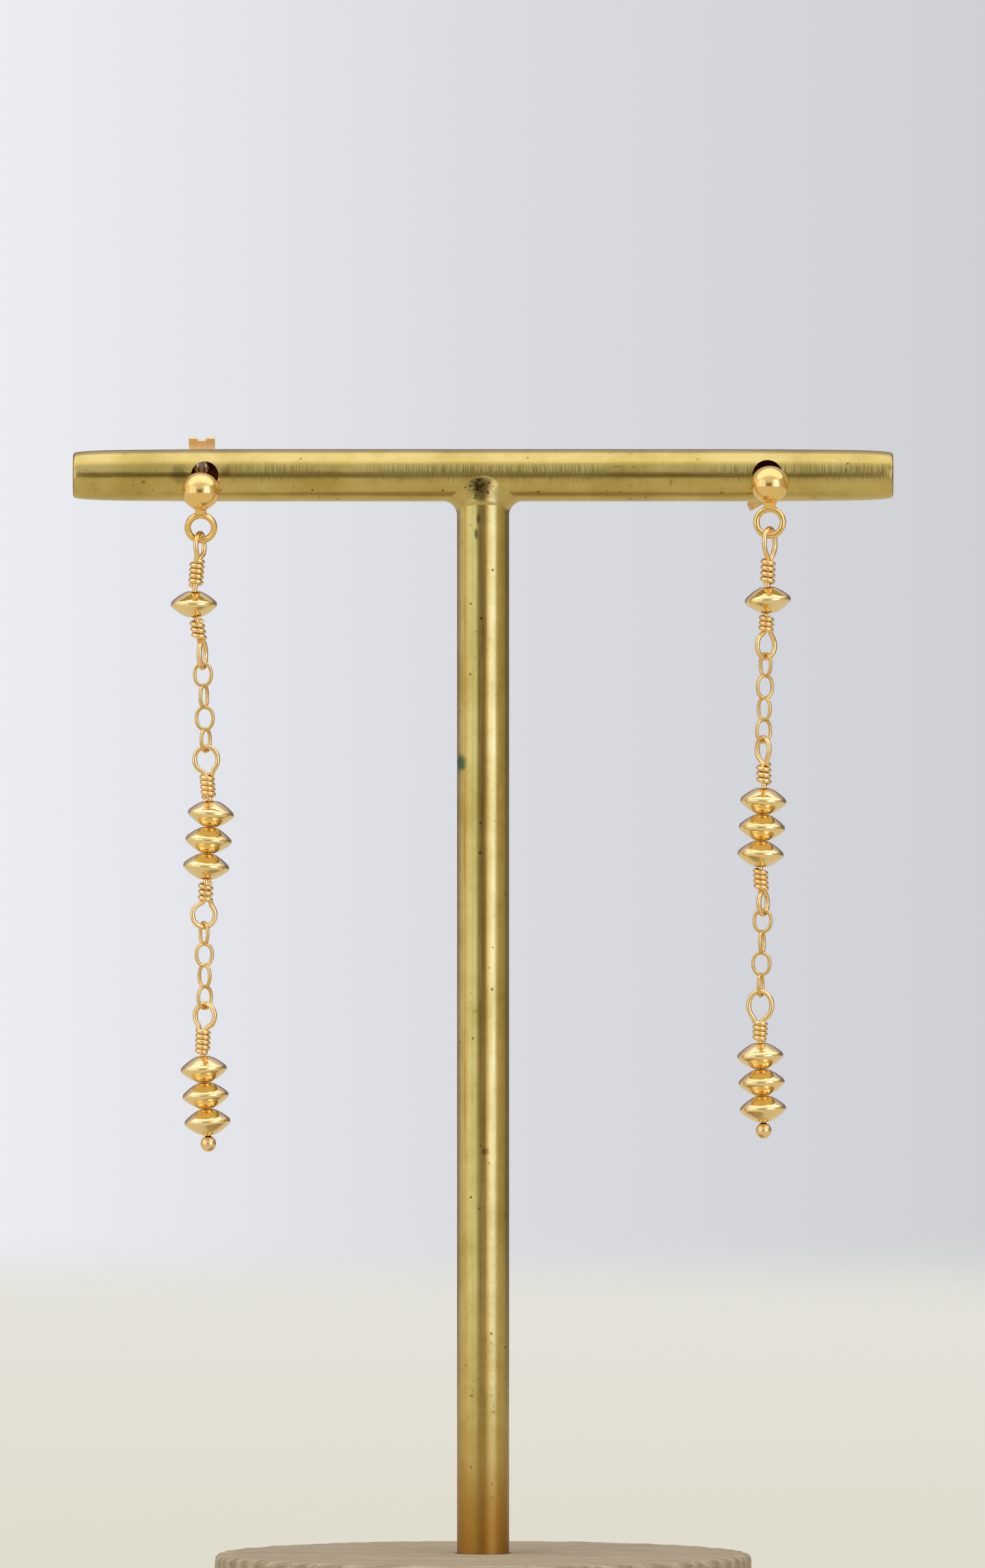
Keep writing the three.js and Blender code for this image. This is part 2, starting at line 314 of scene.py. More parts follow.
def apply_modifier(piece: Object, kind: str, **settings: object) -> None:
    """Adds a modifier with its settings and applies it.

    Args:
        piece: Piece to change.
        kind: Blender's name for the modifier type.
        **settings: Properties of the modifier.
    """
    pick(piece)
    modifier = piece.modifiers.new(kind.lower(), kind)
    for name, value in settings.items():
        setattr(modifier, name, value)
    bpy.ops.object.modifier_apply(modifier=modifier.name)


def cut(piece: Object, cutter: Object) -> None:
    """Cuts one closed piece out of another and deletes the cutter.

    Args:
        piece: Piece that is cut.
        cutter: Shape of the hole.
    """
    apply_modifier(piece, "BOOLEAN", operation="DIFFERENCE", object=cutter, solver="EXACT")
    remove(cutter)


def mount_piece(piece: Object, body: Body, slot: Slot, material: Material, *nodes: str) -> None:
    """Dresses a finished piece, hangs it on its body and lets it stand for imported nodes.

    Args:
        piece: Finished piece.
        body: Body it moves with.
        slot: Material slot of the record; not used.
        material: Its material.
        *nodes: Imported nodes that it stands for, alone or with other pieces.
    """
    piece.data.materials.clear()
    piece.data.materials.append(material)
    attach(piece, body.value)
    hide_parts(*nodes)
    LOG.info("%s: %d faces on %s", piece.name, len(piece.data.polygons), body.value)


def middle(node: str) -> Vector:
    """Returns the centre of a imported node's box, in mm."""
    low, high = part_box(node)
    return (low + high) / 2 / MM


# ---------------------------------------------------------------- finishes


class Graph:
    """A node tree that is being filled."""

    def __init__(self, tree: NodeTree) -> None:
        """Takes the tree to fill."""
        self.tree = tree

    def plug(self, node: Node, inputs: dict) -> None:
        """Links or sets the inputs of a node.

        Args:
            node: The node.
            inputs: Value or output socket for each input, by name or number.
        """
        for key, value in inputs.items():
            if isinstance(value, NodeSocket):
                self.tree.links.new(value, node.inputs[key])
            else:
                node.inputs[key].default_value = value

    def add(self, kind: str, inputs: dict | None = None, **settings: object) -> Node:
        """Adds one shader node with its settings, values and links.

        Args:
            kind: Blender's name for the node type, after "ShaderNode".
            inputs: Value or output socket for each input, by name or number.
            **settings: Properties of the node itself.

        Returns:
            The new node.
        """
        node = self.tree.nodes.new(f"ShaderNode{kind}")
        for name, value in settings.items():
            setattr(node, name, value)
        self.plug(node, inputs or {})
        return node


class Coat(Graph):
    """A material while its colours are laid one over another."""

    def __init__(self, name: str, base: str) -> None:
        """Starts the material.

        Args:
            name: Name of the material.
            base: Colour that lies under the rest.
        """
        self.material = bpy.data.materials.new(name)
        self.material.use_nodes = True
        super().__init__(self.material.node_tree)
        self.place = self.add("TexCoord").outputs["Object"]
        self.colour: NodeSocket | Colour = srgb(base)
        self.rough: NodeSocket | float = 0.5

    def lay(self, share: NodeSocket, code: str, rougher: float = 0.0) -> None:
        """Lays a colour over the rest, and may roughen the surface where it lies.

        Args:
            share: How much of the new colour shows, from 0 to 1.
            code: The new colour.
            rougher: Roughness that a full share adds.
        """
        layers = {0: share, 6: self.colour, 7: srgb(code)}
        self.colour = self.add("Mix", layers, data_type="RGBA").outputs[2]
        if rougher:
            terms = {0: share, 1: rougher, 2: self.rough}
            self.rough = self.add("Math", terms, operation="MULTIPLY_ADD").outputs[0]

    def finish(self, more: dict[str, object]) -> Material:
        """Gives the layers to the shader.

        Args:
            more: Value or output socket for each other input of the shader.

        Returns:
            The finished material.
        """
        shader = self.tree.nodes["Principled BSDF"]
        self.plug(shader, {"Base Color": self.colour, "Roughness": self.rough, **more})
        return self.material


@dataclass(frozen=True)
class Mark:
    """A single dark mark on metal: a stain, except for two tall streaks on the pole that are painted
    reflection.
    """

    place: Place
    reach: float
    colour: str
    depth: float  # share of its colour that shows at its middle
    tall: float = 1.0  # how much longer than wide


@dataclass(frozen=True)
class Rub:
    """A stretch of the crossbar's face that was sanded across, with soft edges."""

    centre: float
    half: float
    soft: float = 3.0


@dataclass(frozen=True)
class DrawnBrass:
    """Lacquerless drawn brass tube, rubbed along its length and slightly tarnished.

    The drawing lines stretch reflections across the tube, and patches of tarnish dull them.
    """

    name: str
    along: Axis
    marks: tuple[Mark, ...] = ()
    bright: str = "#D1BA71"
    dull: str = "#BEA559"
    tarnish: str = "#604E25"
    line_width: float = 0.22  # real lines are finer than shows, so they are drawn this coarse
    line_length: float = 9.0
    patch: float = 6.0
    spot: float = 0.8
    pit_spacing: float = 1.2
    pit_share: float = 0.28  # of the cells that hold a pit
    rough: tuple[float, float] = (0.12, 0.24)
    foot_painted_shade: tuple[float, float] | None = None  # heights between which it is painted darker and browner, as painted shade and a painted reflection of the wooden foot
    foot_shade_colour: str = "#AC7D35"
    inside: float = 0.0  # radius within which a tube along X is raw and brown
    inside_colour: str = "#A5683A"
    rubs: tuple[Rub, ...] = ()
    rub_rows: Rub = Rub(BAR_HEIGHT + 0.25, 0.75, 0.45)  # how high on the face the sanding lies
    rub_colour: str = "#7B703A"
    stroke_width: float = 0.11
    stroke_length: float = 2.6

    def make(self) -> Material:
        """Builds the material and returns it."""
        coat = Coat(self.name, self.bright)
        place = coat.place
        stretch = [1 / (self.line_width * MM)] * 3
        stretch[self.along.value] = 1 / (self.line_length * MM)
        lined = coat.add("Mapping", {"Vector": place, "Scale": stretch}).outputs[0]
        lines = coat.add("TexNoise", {"Vector": lined, "Scale": 1.0, "Detail": 3.0}).outputs[0]
        coat.rough = coat.add(
            "MapRange",
            {
                "Value": lines,
                "From Min": 0.3,
                "From Max": 0.7,
                "To Min": self.rough[0],
                "To Max": self.rough[1],
            },
        ).outputs[0]
        patches, spots = (
            coat.add(
                "TexNoise",
                {"Vector": place, "Scale": 1 / (size * MM), "Detail": detail, "Roughness": broken},
            ).outputs[0]
            for size, detail, broken in ((self.patch, 5.0, 0.62), (self.spot, 4.0, 0.6))
        )
        patched = coat.add("MapRange", {"Value": patches, "From Min": 0.42, "From Max": 0.66}).outputs[0]
        spotted = coat.add(
            "MapRange", {"Value": spots, "From Min": 0.63, "From Max": 0.72, "To Max": 0.7}
        ).outputs[0]
        spotted = coat.add("Math", {0: spotted, 1: patched}, operation="MULTIPLY").outputs[0]
        coat.lay(patched, self.dull)
        coat.lay(spotted, self.tarnish, rougher=0.35)
        self._pit(coat)
        for mark in self.marks:
            self._lay_mark(coat, spots, mark)
        # Painted shade and a painted reflection of the wooden foot, darker and browner towards the foot.
        if self.foot_painted_shade:
            self._paint_foot_shade(coat, *self.foot_painted_shade)
        for rub in self.rubs:
            self._sand(coat, rub)
        if self.inside:
            self._brown_inside(coat)
        bump = coat.add("Bump", {"Height": lines, "Strength": 0.35, "Distance": 0.012 * MM}).outputs[0]
        pitted = coat.add(
            "Bump", {"Height": spots, "Strength": 0.25, "Distance": 0.03 * MM, "Normal": bump}
        ).outputs[0]
        return coat.finish({"Metallic": 1.0, "Normal": pitted})

    def _pit(self, coat: Coat) -> None:
        """Scatters pinpoint corrosion pits, a few in every square centimetre.

        Args:
            coat: Material so far.
        """
        cells = coat.add(
            "TexVoronoi", {"Vector": coat.place, "Scale": 1 / (self.pit_spacing * MM)}
        ).outputs
        near = coat.add(
            "MapRange", {"Value": cells["Distance"], "From Min": 0.17, "From Max": 0.08, "To Max": 0.85}
        ).outputs[0]
        limit = 1 - self.pit_share
        chosen = coat.add("Math", {0: cells["Color"], 1: limit}, operation="GREATER_THAN").outputs[0]
        pit = coat.add("Math", {0: near, 1: chosen}, operation="MULTIPLY").outputs[0]
        coat.lay(pit, self.tarnish)

    def _lay_mark(self, coat: Coat, ragged: NodeSocket, mark: Mark) -> None:
        """Adds one ragged dark mark: a stain, except for the pole's two tall streaks, which are painted
        reflection.

        Args:
            coat: Material so far.
            ragged: Noise that frays the stain's edge.
            mark: Where and how strong the mark is.
        """
        squash = (1.0, 1.0, 1.0 / mark.tall)
        centre = [value * MM * share for value, share in zip(mark.place, squash, strict=True)]
        place = coat.add("VectorMath", {0: coat.place, 1: squash}, operation="MULTIPLY").outputs[0]
        away = coat.add("VectorMath", {0: place, 1: centre}, operation="DISTANCE").outputs["Value"]
        frayed = coat.add(
            "Math", {0: ragged, 1: mark.reach * MM, 2: away}, operation="MULTIPLY_ADD"
        ).outputs[0]
        edge = {"From Min": 1.5 * mark.reach * MM, "From Max": 0.9 * mark.reach * MM}
        mark_share = coat.add("MapRange", {"Value": frayed, **edge, "To Max": mark.depth}).outputs[0]
        coat.lay(mark_share, mark.colour)

    def _paint_foot_shade(self, coat: Coat, brown: float, clean: float) -> None:
        """Paints shade and a brown reflection of the wooden foot onto the tube towards its foot, and dulls
        it.

        Args:
            coat: Material so far.
            brown: Height up to which it is all brown.
            clean: Height from which the painted shade stops.
        """
        height = coat.add("SeparateXYZ", {0: coat.place}).outputs["Z"]
        foot_shade_share = coat.add(
            "MapRange",
            {"Value": height, "From Min": clean * MM, "From Max": brown * MM},
            interpolation_type="SMOOTHSTEP",
        ).outputs[0]
        # Lays the painted shade and painted reflection, and roughens the tube there.
        coat.lay(foot_shade_share, self.foot_shade_colour, rougher=0.16)

    def _sand(self, coat: Coat, rub: Rub) -> None:
        """Sands a stretch of the bar's face across its length, which greys it in short strokes.

        Args:
            coat: Material so far.
            rub: Stretch along X.
        """
        narrow, long = 1 / (self.stroke_width * MM), 1 / (self.stroke_length * MM)
        crossed = coat.add("Mapping", {"Vector": coat.place, "Scale": (narrow, long, long)}).outputs[0]
        strokes = coat.add("TexNoise", {"Vector": crossed, "Scale": 1.0, "Detail": 2.0}).outputs[0]
        worn = coat.add(
            "MapRange", {"Value": strokes, "From Min": 0.42, "From Max": 0.6, "To Max": 0.9}
        ).outputs[0]
        parts = coat.add("SeparateXYZ", {0: coat.place}).outputs
        for part, band in ((parts["X"], rub), (parts["Z"], self.rub_rows)):
            away = coat.add("Math", {0: part, 1: band.centre * MM}, operation="SUBTRACT").outputs[0]
            away = coat.add("Math", {0: away}, operation="ABSOLUTE").outputs[0]
            edge = {"From Min": (band.half + band.soft) * MM, "From Max": (band.half - band.soft) * MM}
            inside = coat.add("MapRange", {"Value": away, **edge}).outputs[0]
            worn = coat.add("Math", {0: worn, 1: inside}, operation="MULTIPLY").outputs[0]
        coat.lay(worn, self.rub_colour, rougher=0.25)

    def _brown_inside(self, coat: Coat) -> None:
        """Leaves the tube's bore and its cut rim raw and brown, near the bar's centre line.

        Args:
            coat: Material so far.
        """
        steps = (("SUBTRACT", (0.0, 0.0, BAR_HEIGHT * MM)), ("MULTIPLY", (0.0, 1.0, 1.0)))
        off = coat.place
        for operation, vector in steps:
            off = coat.add("VectorMath", {0: off, 1: vector}, operation=operation).outputs[0]
        away = coat.add("VectorMath", {0: off}, operation="LENGTH").outputs["Value"]
        raw = coat.add("Math", {0: away, 1: self.inside * MM}, operation="LESS_THAN").outputs[0]
        coat.lay(raw, self.inside_colour, rougher=0.4)


@dataclass(frozen=True)
class Solder:
    """Torch-darkened silver solder at the joint, grainy and half scraped back to brass."""

    name: str = "torch_darkened_solder"
    clean: str = "#C8B26C"
    smoke: str = "#8C7840"
    burnt: str = "#45361B"
    grain: float = 0.45
    scorch: Place = (-0.45, -2.9, 128.7)  # where the torch flame dwelt
    scorch_reach: float = 2.0

    def make(self) -> Material:
        """Builds the material and returns it."""
        coat = Coat(self.name, self.clean)
        reach = self.scorch_reach * MM
        grain = coat.add(
            "TexNoise",
            {"Vector": coat.place, "Scale": 1 / (self.grain * MM), "Detail": 4.0, "Roughness": 0.65},
        ).outputs[0]
        centre = [value * MM for value in self.scorch]
        away = coat.add("VectorMath", {0: coat.place, 1: centre}, operation="DISTANCE").outputs["Value"]
        limit = coat.add(
            "MapRange", {"Value": away, "From Max": reach, "To Min": 0.32, "To Max": 0.7}
        ).outputs[0]
        ragged = coat.add("Math", {0: grain, 1: limit}, operation="SUBTRACT").outputs[0]
        burnt = coat.add("MapRange", {"Value": ragged, "From Min": -0.05, "From Max": 0.1}).outputs[0]
        smoky = coat.add(
            "MapRange",
            {"Value": away, "From Min": 0.85 * reach, "From Max": 0.2 * reach, "To Max": 0.85},
            interpolation_type="SMOOTHSTEP",
        ).outputs[0]
        coat.lay(smoky, self.smoke)
        coat.lay(burnt, self.burnt)
        coat.rough = coat.add("MapRange", {"Value": burnt, "To Min": 0.2, "To Max": 0.5}).outputs[0]
        bump = coat.add("Bump", {"Height": grain, "Strength": 0.3, "Distance": 0.04 * MM}).outputs[0]
        return coat.finish({"Metallic": 1.0, "Normal": bump})


@dataclass(frozen=True)
class GoldFill:
    """Gold-filled metal, tumbled bright.

    It mirrors the room in warm yellow, and the faint unevenness of handling breaks the mirror up.
    """

    name: str
    colour: str = "#FAE2AC"
    deep: str = "#F6D68E"
    rough: tuple[float, float] = (0.08, 0.14)
    dent: float = 1.1  # spacing of the unevenness
    dent_depth: float = 0.012

    def make(self) -> Material:
        """Builds the material and returns it."""
        coat = Coat(self.name, self.colour)
        dents, wear = (
            coat.add(
                "TexNoise", {"Vector": coat.place, "Scale": finer / (self.dent * MM), "Detail": detail}
            ).outputs[0]
            for finer, detail in ((1, 2.0), (3.5, 3.0))
        )
        coat.lay(dents, self.deep)
        coat.rough = coat.add(
            "MapRange",
            {
                "Value": wear,
                "From Min": 0.35,
                "From Max": 0.7,
                "To Min": self.rough[0],
                "To Max": self.rough[1],
            },
        ).outputs[0]
        bump = coat.add(
            "Bump", {"Height": dents, "Strength": 0.5, "Distance": self.dent_depth * MM}
        ).outputs[0]
        return coat.finish({"Metallic": 1.0, "Normal": bump})


@dataclass(frozen=True)
class SawnWood:
    """Unfinished pale hardwood, sawn and lightly sanded.

    Growth bands cross the face, and short dark fibres between them keep it matt.
    """

    name: str = "sawn_hardwood"
    pale: str = "#AFA07F"
    mid: str = "#968367"
    dark: str = "#65503A"
    ring: float = 2.4  # spacing of the growth bands
    fibre: float = 0.35

    def make(self) -> Material:
        """Builds the material and returns it."""
        coat = Coat(self.name, self.pale)
        place = coat.place
        banded = coat.add(
            "Mapping", {"Vector": place, "Scale": (0.12, 1.0, 0.55), "Rotation": (0.35, 0.0, 0.1)}
        ).outputs[0]
        rings = coat.add(
            "TexWave",
            {
                "Vector": banded,
                "Scale": 2 / (math.tau * self.ring * MM),
                "Distortion": 5.0,
                "Detail": 3.0,
                "Detail Scale": 1.2,
            },
            bands_direction="Y",
        ).outputs["Fac"]
        along = coat.add("Mapping", {"Vector": place, "Scale": (0.07, 1.0, 1.0)}).outputs[0]
        fibres = coat.add(
            "TexNoise", {"Vector": along, "Scale": 1 / (self.fibre * MM), "Detail": 4.0, "Roughness": 0.6}
        ).outputs[0]
        pores = coat.add(
            "MapRange", {"Value": fibres, "From Min": 0.5, "From Max": 0.72, "To Max": 0.75}
        ).outputs[0]
        coat.lay(rings, self.mid)
        coat.lay(pores, self.dark)
        coat.rough = coat.add("MapRange", {"Value": fibres, "To Min": 0.62, "To Max": 0.9}).outputs[0]
        bump = coat.add(
            "Bump", {"Height": fibres, "Strength": 0.6, "Distance": 0.12 * MM}, invert=True
        ).outputs[0]
        return coat.finish({"Metallic": 0.0, "Normal": bump})


@dataclass(frozen=True)
class CreamPaper:
    """Matt cream paper, painted a little darker near the stand and lighter far off as painted shade, that
    fades out towards its edge.

    Metal mirrors a smaller sheet than the eye sees, and a darker one: that darker colour is painted shade.
    """

    name: str = "matt_cream_paper"
    # Painted shade: the paper is darker near the stand than far off.
    near: str = "#D1CDB8"
    far_painted_light: str = "#DFDDCD"
    # painted shade: the darker colour that metal mirrors
    mirrored: str = "#C8C1AC"
    turn: tuple[float, float] = (0.3, 1.1)  # m, between which the painted shade near the stand turns to the lighter far colour
    seen_edge: tuple[float, float] = (1.62, 1.12)  # m, from gone to whole
    mirrored_edge: tuple[float, float] = (0.95, 0.5)

    def make(self) -> Material:
        """Builds the material and returns it."""
        coat = Coat(self.name, self.near)
        away = coat.add("VectorMath", {0: coat.place}, operation="LENGTH").outputs["Value"]
        seen, mirrored = (
            coat.add(
                "MapRange",
                {"Value": away, "From Min": gone, "From Max": whole},
                interpolation_type="SMOOTHSTEP",
            ).outputs[0]
            for gone, whole in (self.seen_edge, self.mirrored_edge)
        )
        glossy = coat.add("LightPath").outputs["Is Glossy Ray"]
        alpha = coat.add("Mix", {0: glossy, 2: seen, 3: mirrored}, data_type="FLOAT").outputs[0]
        # Painted shade: turns the darker paper near the stand to the lighter far colour.
        far_painted_light = coat.add(
            "MapRange", {"Value": away, "From Min": self.turn[0], "From Max": self.turn[1]}
        ).outputs[0]
        coat.lay(far_painted_light, self.far_painted_light)
        # Painted shade: reflections see a darker copy of the paper.
        coat.lay(glossy, self.mirrored)
        coat.rough = 0.95
        return coat.finish({"Alpha": alpha, "Specular IOR Level": 0.1})


# ---------------------------------------------------------------- stand


@dataclass(frozen=True)
class Hole:
    """Where a post goes through the crossbar: a wide hole in front and a close one behind."""

    front_x: float
    front_radius: float
    back_x: float
    back_rise: float


@dataclass(frozen=True)
class Stand:
    """Round wooden foot and a T of brass tube, soldered where the pole meets the crossbar."""

    tube: float = TUBE
    wall: float = 0.5
    bar_height: float = BAR_HEIGHT
    bar_half: float = 43.5
    mouth: float = 1.7  # radius of the bore at the crossbar's cut ends
    mouth_depth: float = 2.0
    pole_foot: float = 7.9  # height of the pole's lower end, inside the foot
    holes: tuple[Hole, ...] = (Hole(-29.5, 1.45, -29.9, 0.829), Hole(30.15, 1.6, 30.35, -1.152))
    exit_radius: float = 0.75  # of the holes behind, close round the posts
    foot_radius: float = 28.5
    foot_height: float = 15.6
    chip_in: float = 0.11  # how deep the saw chipped the rim, inwards and downwards
    chip_down: float = 0.12
    chip_seed: int = 7
    socket: tuple[float, float] = (3.0, 7.6)  # radius, and height of its floor
    fillet: float = 1.45  # width of the solder beside the pole, under the crossbar
    collar_drop: float = 3.2  # of the solder down the front and back of the pole
    lump: float = 0.05  # unevenness of the solder
    lump_seed: int = 11

    def foot(self, wood: Material) -> None:
        """Turns the foot, with a worn rim and a blind socket for the pole."""
        radius, top = self.foot_radius, self.foot_height
        side = [(radius, 0.7 + 1.42 * step) for step in range(11)]  # rings up the straight side
        rows = [(0, 0), (radius - 6, 0), (radius - 0.7, 0), (radius - 0.2, 0.2), *side]
        rows += [(radius - 0.07, top - 0.35), (radius - 0.25, top - 0.12), (radius - 0.6, top)]
        rows += [(radius - step, top) for step in (2, 5, 9, 14, 19, 23)]
        bore, floor = self.socket
        rows += [(bore + 0.15, top), (bore, top - 0.15), (bore, floor), (0, floor)]
        piece = turned("wooden_foot", rows, sides=144)
        chance = Random(self.chip_seed)

        def chip(place: Vector) -> Vector:
            """Knocks the upper rim about, as a saw leaves it."""
            at_rim = place.z > top - 0.75 and Vector((place.x, place.y)).length > radius - 0.8
            if not at_rim:
                return place
            inward = 1 - chance.uniform(0.0, self.chip_in) / radius
            down = chance.uniform(0.0, self.chip_down)
            return Vector((place.x * inward, place.y * inward, place.z - down))

        reshape(piece, chip)
        mount_piece(piece, Body.STAND, Slot.WOOD, wood, "stand_base")

    def crossbar(self, brass: Material) -> None:
        """Draws the crossbar, narrowed at its cut ends, bored through and drilled for the posts."""
        half, tube = self.bar_half, self.tube
        # Distance from the cut end, and the radius that the cutter squeezed the tube to there.
        end = [(0.0, 2.16), (0.03, 2.25), (0.09, 2.34), (0.19, 2.41), (0.35, 2.45), (0.8, 2.51)]
        end += [(1.3, 2.56), (2.2, 2.615), (3.3, 2.66), (5.0, 2.69)]
        end += [(7.0, 2.715), (12.0, 2.755), (18.0, tube)]
        bore = tube - self.wall
        inner = half - self.mouth_depth
        rows = [(self.mouth, -half), *[(radius, along - half) for along, radius in end]]
        rows += [(tube, along) for along in (-14.0, 0.0, 14.0)]  # rings along the straight part
        rows += [(radius, half - along) for along, radius in reversed(end)]
        rows += [(self.mouth, half), (self.mouth, inner), (bore, inner - 0.6), (bore, 0.6 - inner)]
        rows += [(self.mouth, -inner)]
        piece = turned("crossbar", rows, TUBE_SIDES, closed=True)
        rise = Matrix.Translation((0, 0, self.bar_height * MM))
        place_mesh(piece, rise @ Matrix.Rotation(math.pi / 2, 4, "Y"))
        for hole in self.holes:
            self._drill(piece, hole.front_x, 0.0, hole.front_radius, Wall.FRONT)
            self._drill(piece, hole.back_x, hole.back_rise, self.exit_radius, Wall.BACK)
        finish_mesh(piece, angle=30.0)
        mount_piece(piece, Body.STAND, Slot.BRASS, brass, "t_bar")

    def _drill(self, piece: Object, across: float, rise: float, radius: float, wall: Wall) -> None:
        """Drills one wall of the crossbar.

        Args:
            piece: The crossbar.
            across: Place of the hole along the crossbar.
            rise: Height of the hole above the crossbar's centre line.
            radius: Radius of the hole.
            wall: Which wall.
        """
        cutter = turned("drill", [(0, 0), (radius, 0), (radius, 4), (0, 4)], sides=64)
        turn = Matrix.Rotation(-wall.value * math.pi / 2, 4, "X")
        place_mesh(cutter, Matrix.Translation(Vector((across, 0, self.bar_height + rise)) * MM) @ turn)
        cut(piece, cutter)

    def pole(self, brass: Material) -> None:
        """Draws the pole, whose upper end is coped to the round of the crossbar."""
        tube, bore, foot, top = self.tube, self.tube - self.wall, self.pole_foot, self.bar_height
        rows = [(bore, foot), (tube - 0.1, foot), (tube, foot + 0.1), (tube, 40), (tube, 90)]
        rows += [(tube, top - 6), (tube, top), (bore, top), (bore, top - 6)]
        piece = turned("pole", rows, TUBE_SIDES, closed=True)

        def cope(place: Vector) -> Vector:
            """Follows the underside of the crossbar at the tube's upper end."""
            if place.z < top - 1:
                return place
            slack = math.sqrt(max(tube**2 - place.y**2, 0.0))
            return Vector((place.x, place.y, top - 0.9 * slack))

        reshape(piece, cope)
        finish_mesh(piece)
        mount_piece(piece, Body.STAND, Slot.BRASS, brass, "t_bar")

    def joint(self, solder: Material) -> None:
        """Runs a collar of solder round the corner between the pole and the crossbar."""
        arc, tube = 14, self.tube
        sunk = 0.94  # share of the tube's radius at which the collar's hidden side lies
        deep = sunk * tube
        # Row 0 is the hidden lower edge, the next ones follow the fillet, and the last are hidden too.
        rows = [(tube, float(row)) for row in range(arc + 4)]
        piece = turned("solder_collar", rows, TUBE_SIDES, closed=True)
        chance = Random(self.lump_seed)
        swell = [chance.uniform(0.0, self.lump) for _ in range(24)]

        def flow(place: Vector) -> Vector:
            """Places a point of the collar by its angle round the pole and its row."""
            row = round(place.z)
            angle = math.atan2(place.y, place.x)
            cos, sin = math.cos(angle), math.sin(angle)
            side = math.copysign(min(1.0, abs(cos) * 12), cos)
            # Wide in the corners left and right of the pole, thin down its front and back.
            spread = self.fillet * (0.6 + 0.4 * cos * cos)
            seam = -tube * abs(cos)
            foot = -(self.collar_drop + (tube + self.fillet - self.collar_drop) * cos**4)
            if row == 0:
                return Vector((deep * cos, deep * sin, self.bar_height + foot + 0.1))
            if row > arc + 1:
                out = tube * cos + side * spread if row == arc + 2 else deep * cos
                return Vector((out, deep * sin, self.bar_height + sunk * seam))
            part = (angle / math.tau % 1.0) * len(swell)
            low, share = int(part), part % 1.0
            bulge = swell[low] * (1 - share) + swell[(low + 1) % len(swell)] * share
            turn = (row - 1) / arc * math.pi / 2
            up = math.sin(turn)
            belly = math.sin(2 * turn) ** 1.3  # fullest halfway up the fillet
            lip = -0.01 if row == 1 else 0.06 * (1 - up) ** 0.7 * max(0.0, -sin) ** 6
            proud = lip - 0.012 * up + (self.lump * sin * sin + bulge * abs(sin)) * belly
            across = tube * cos + side * spread * (1 - math.cos(turn)) + proud * cos * (1 - up)
            height = foot + (seam - foot) * up - proud * abs(cos) * up
            return Vector((across, (tube + proud) * sin, self.bar_height + height))

        reshape(piece, flow)
        finish_mesh(piece, angle=60.0)
        mount_piece(piece, Body.STAND, Slot.BRASS, solder, "t_bar")


# ---------------------------------------------------------------- stud and clutch


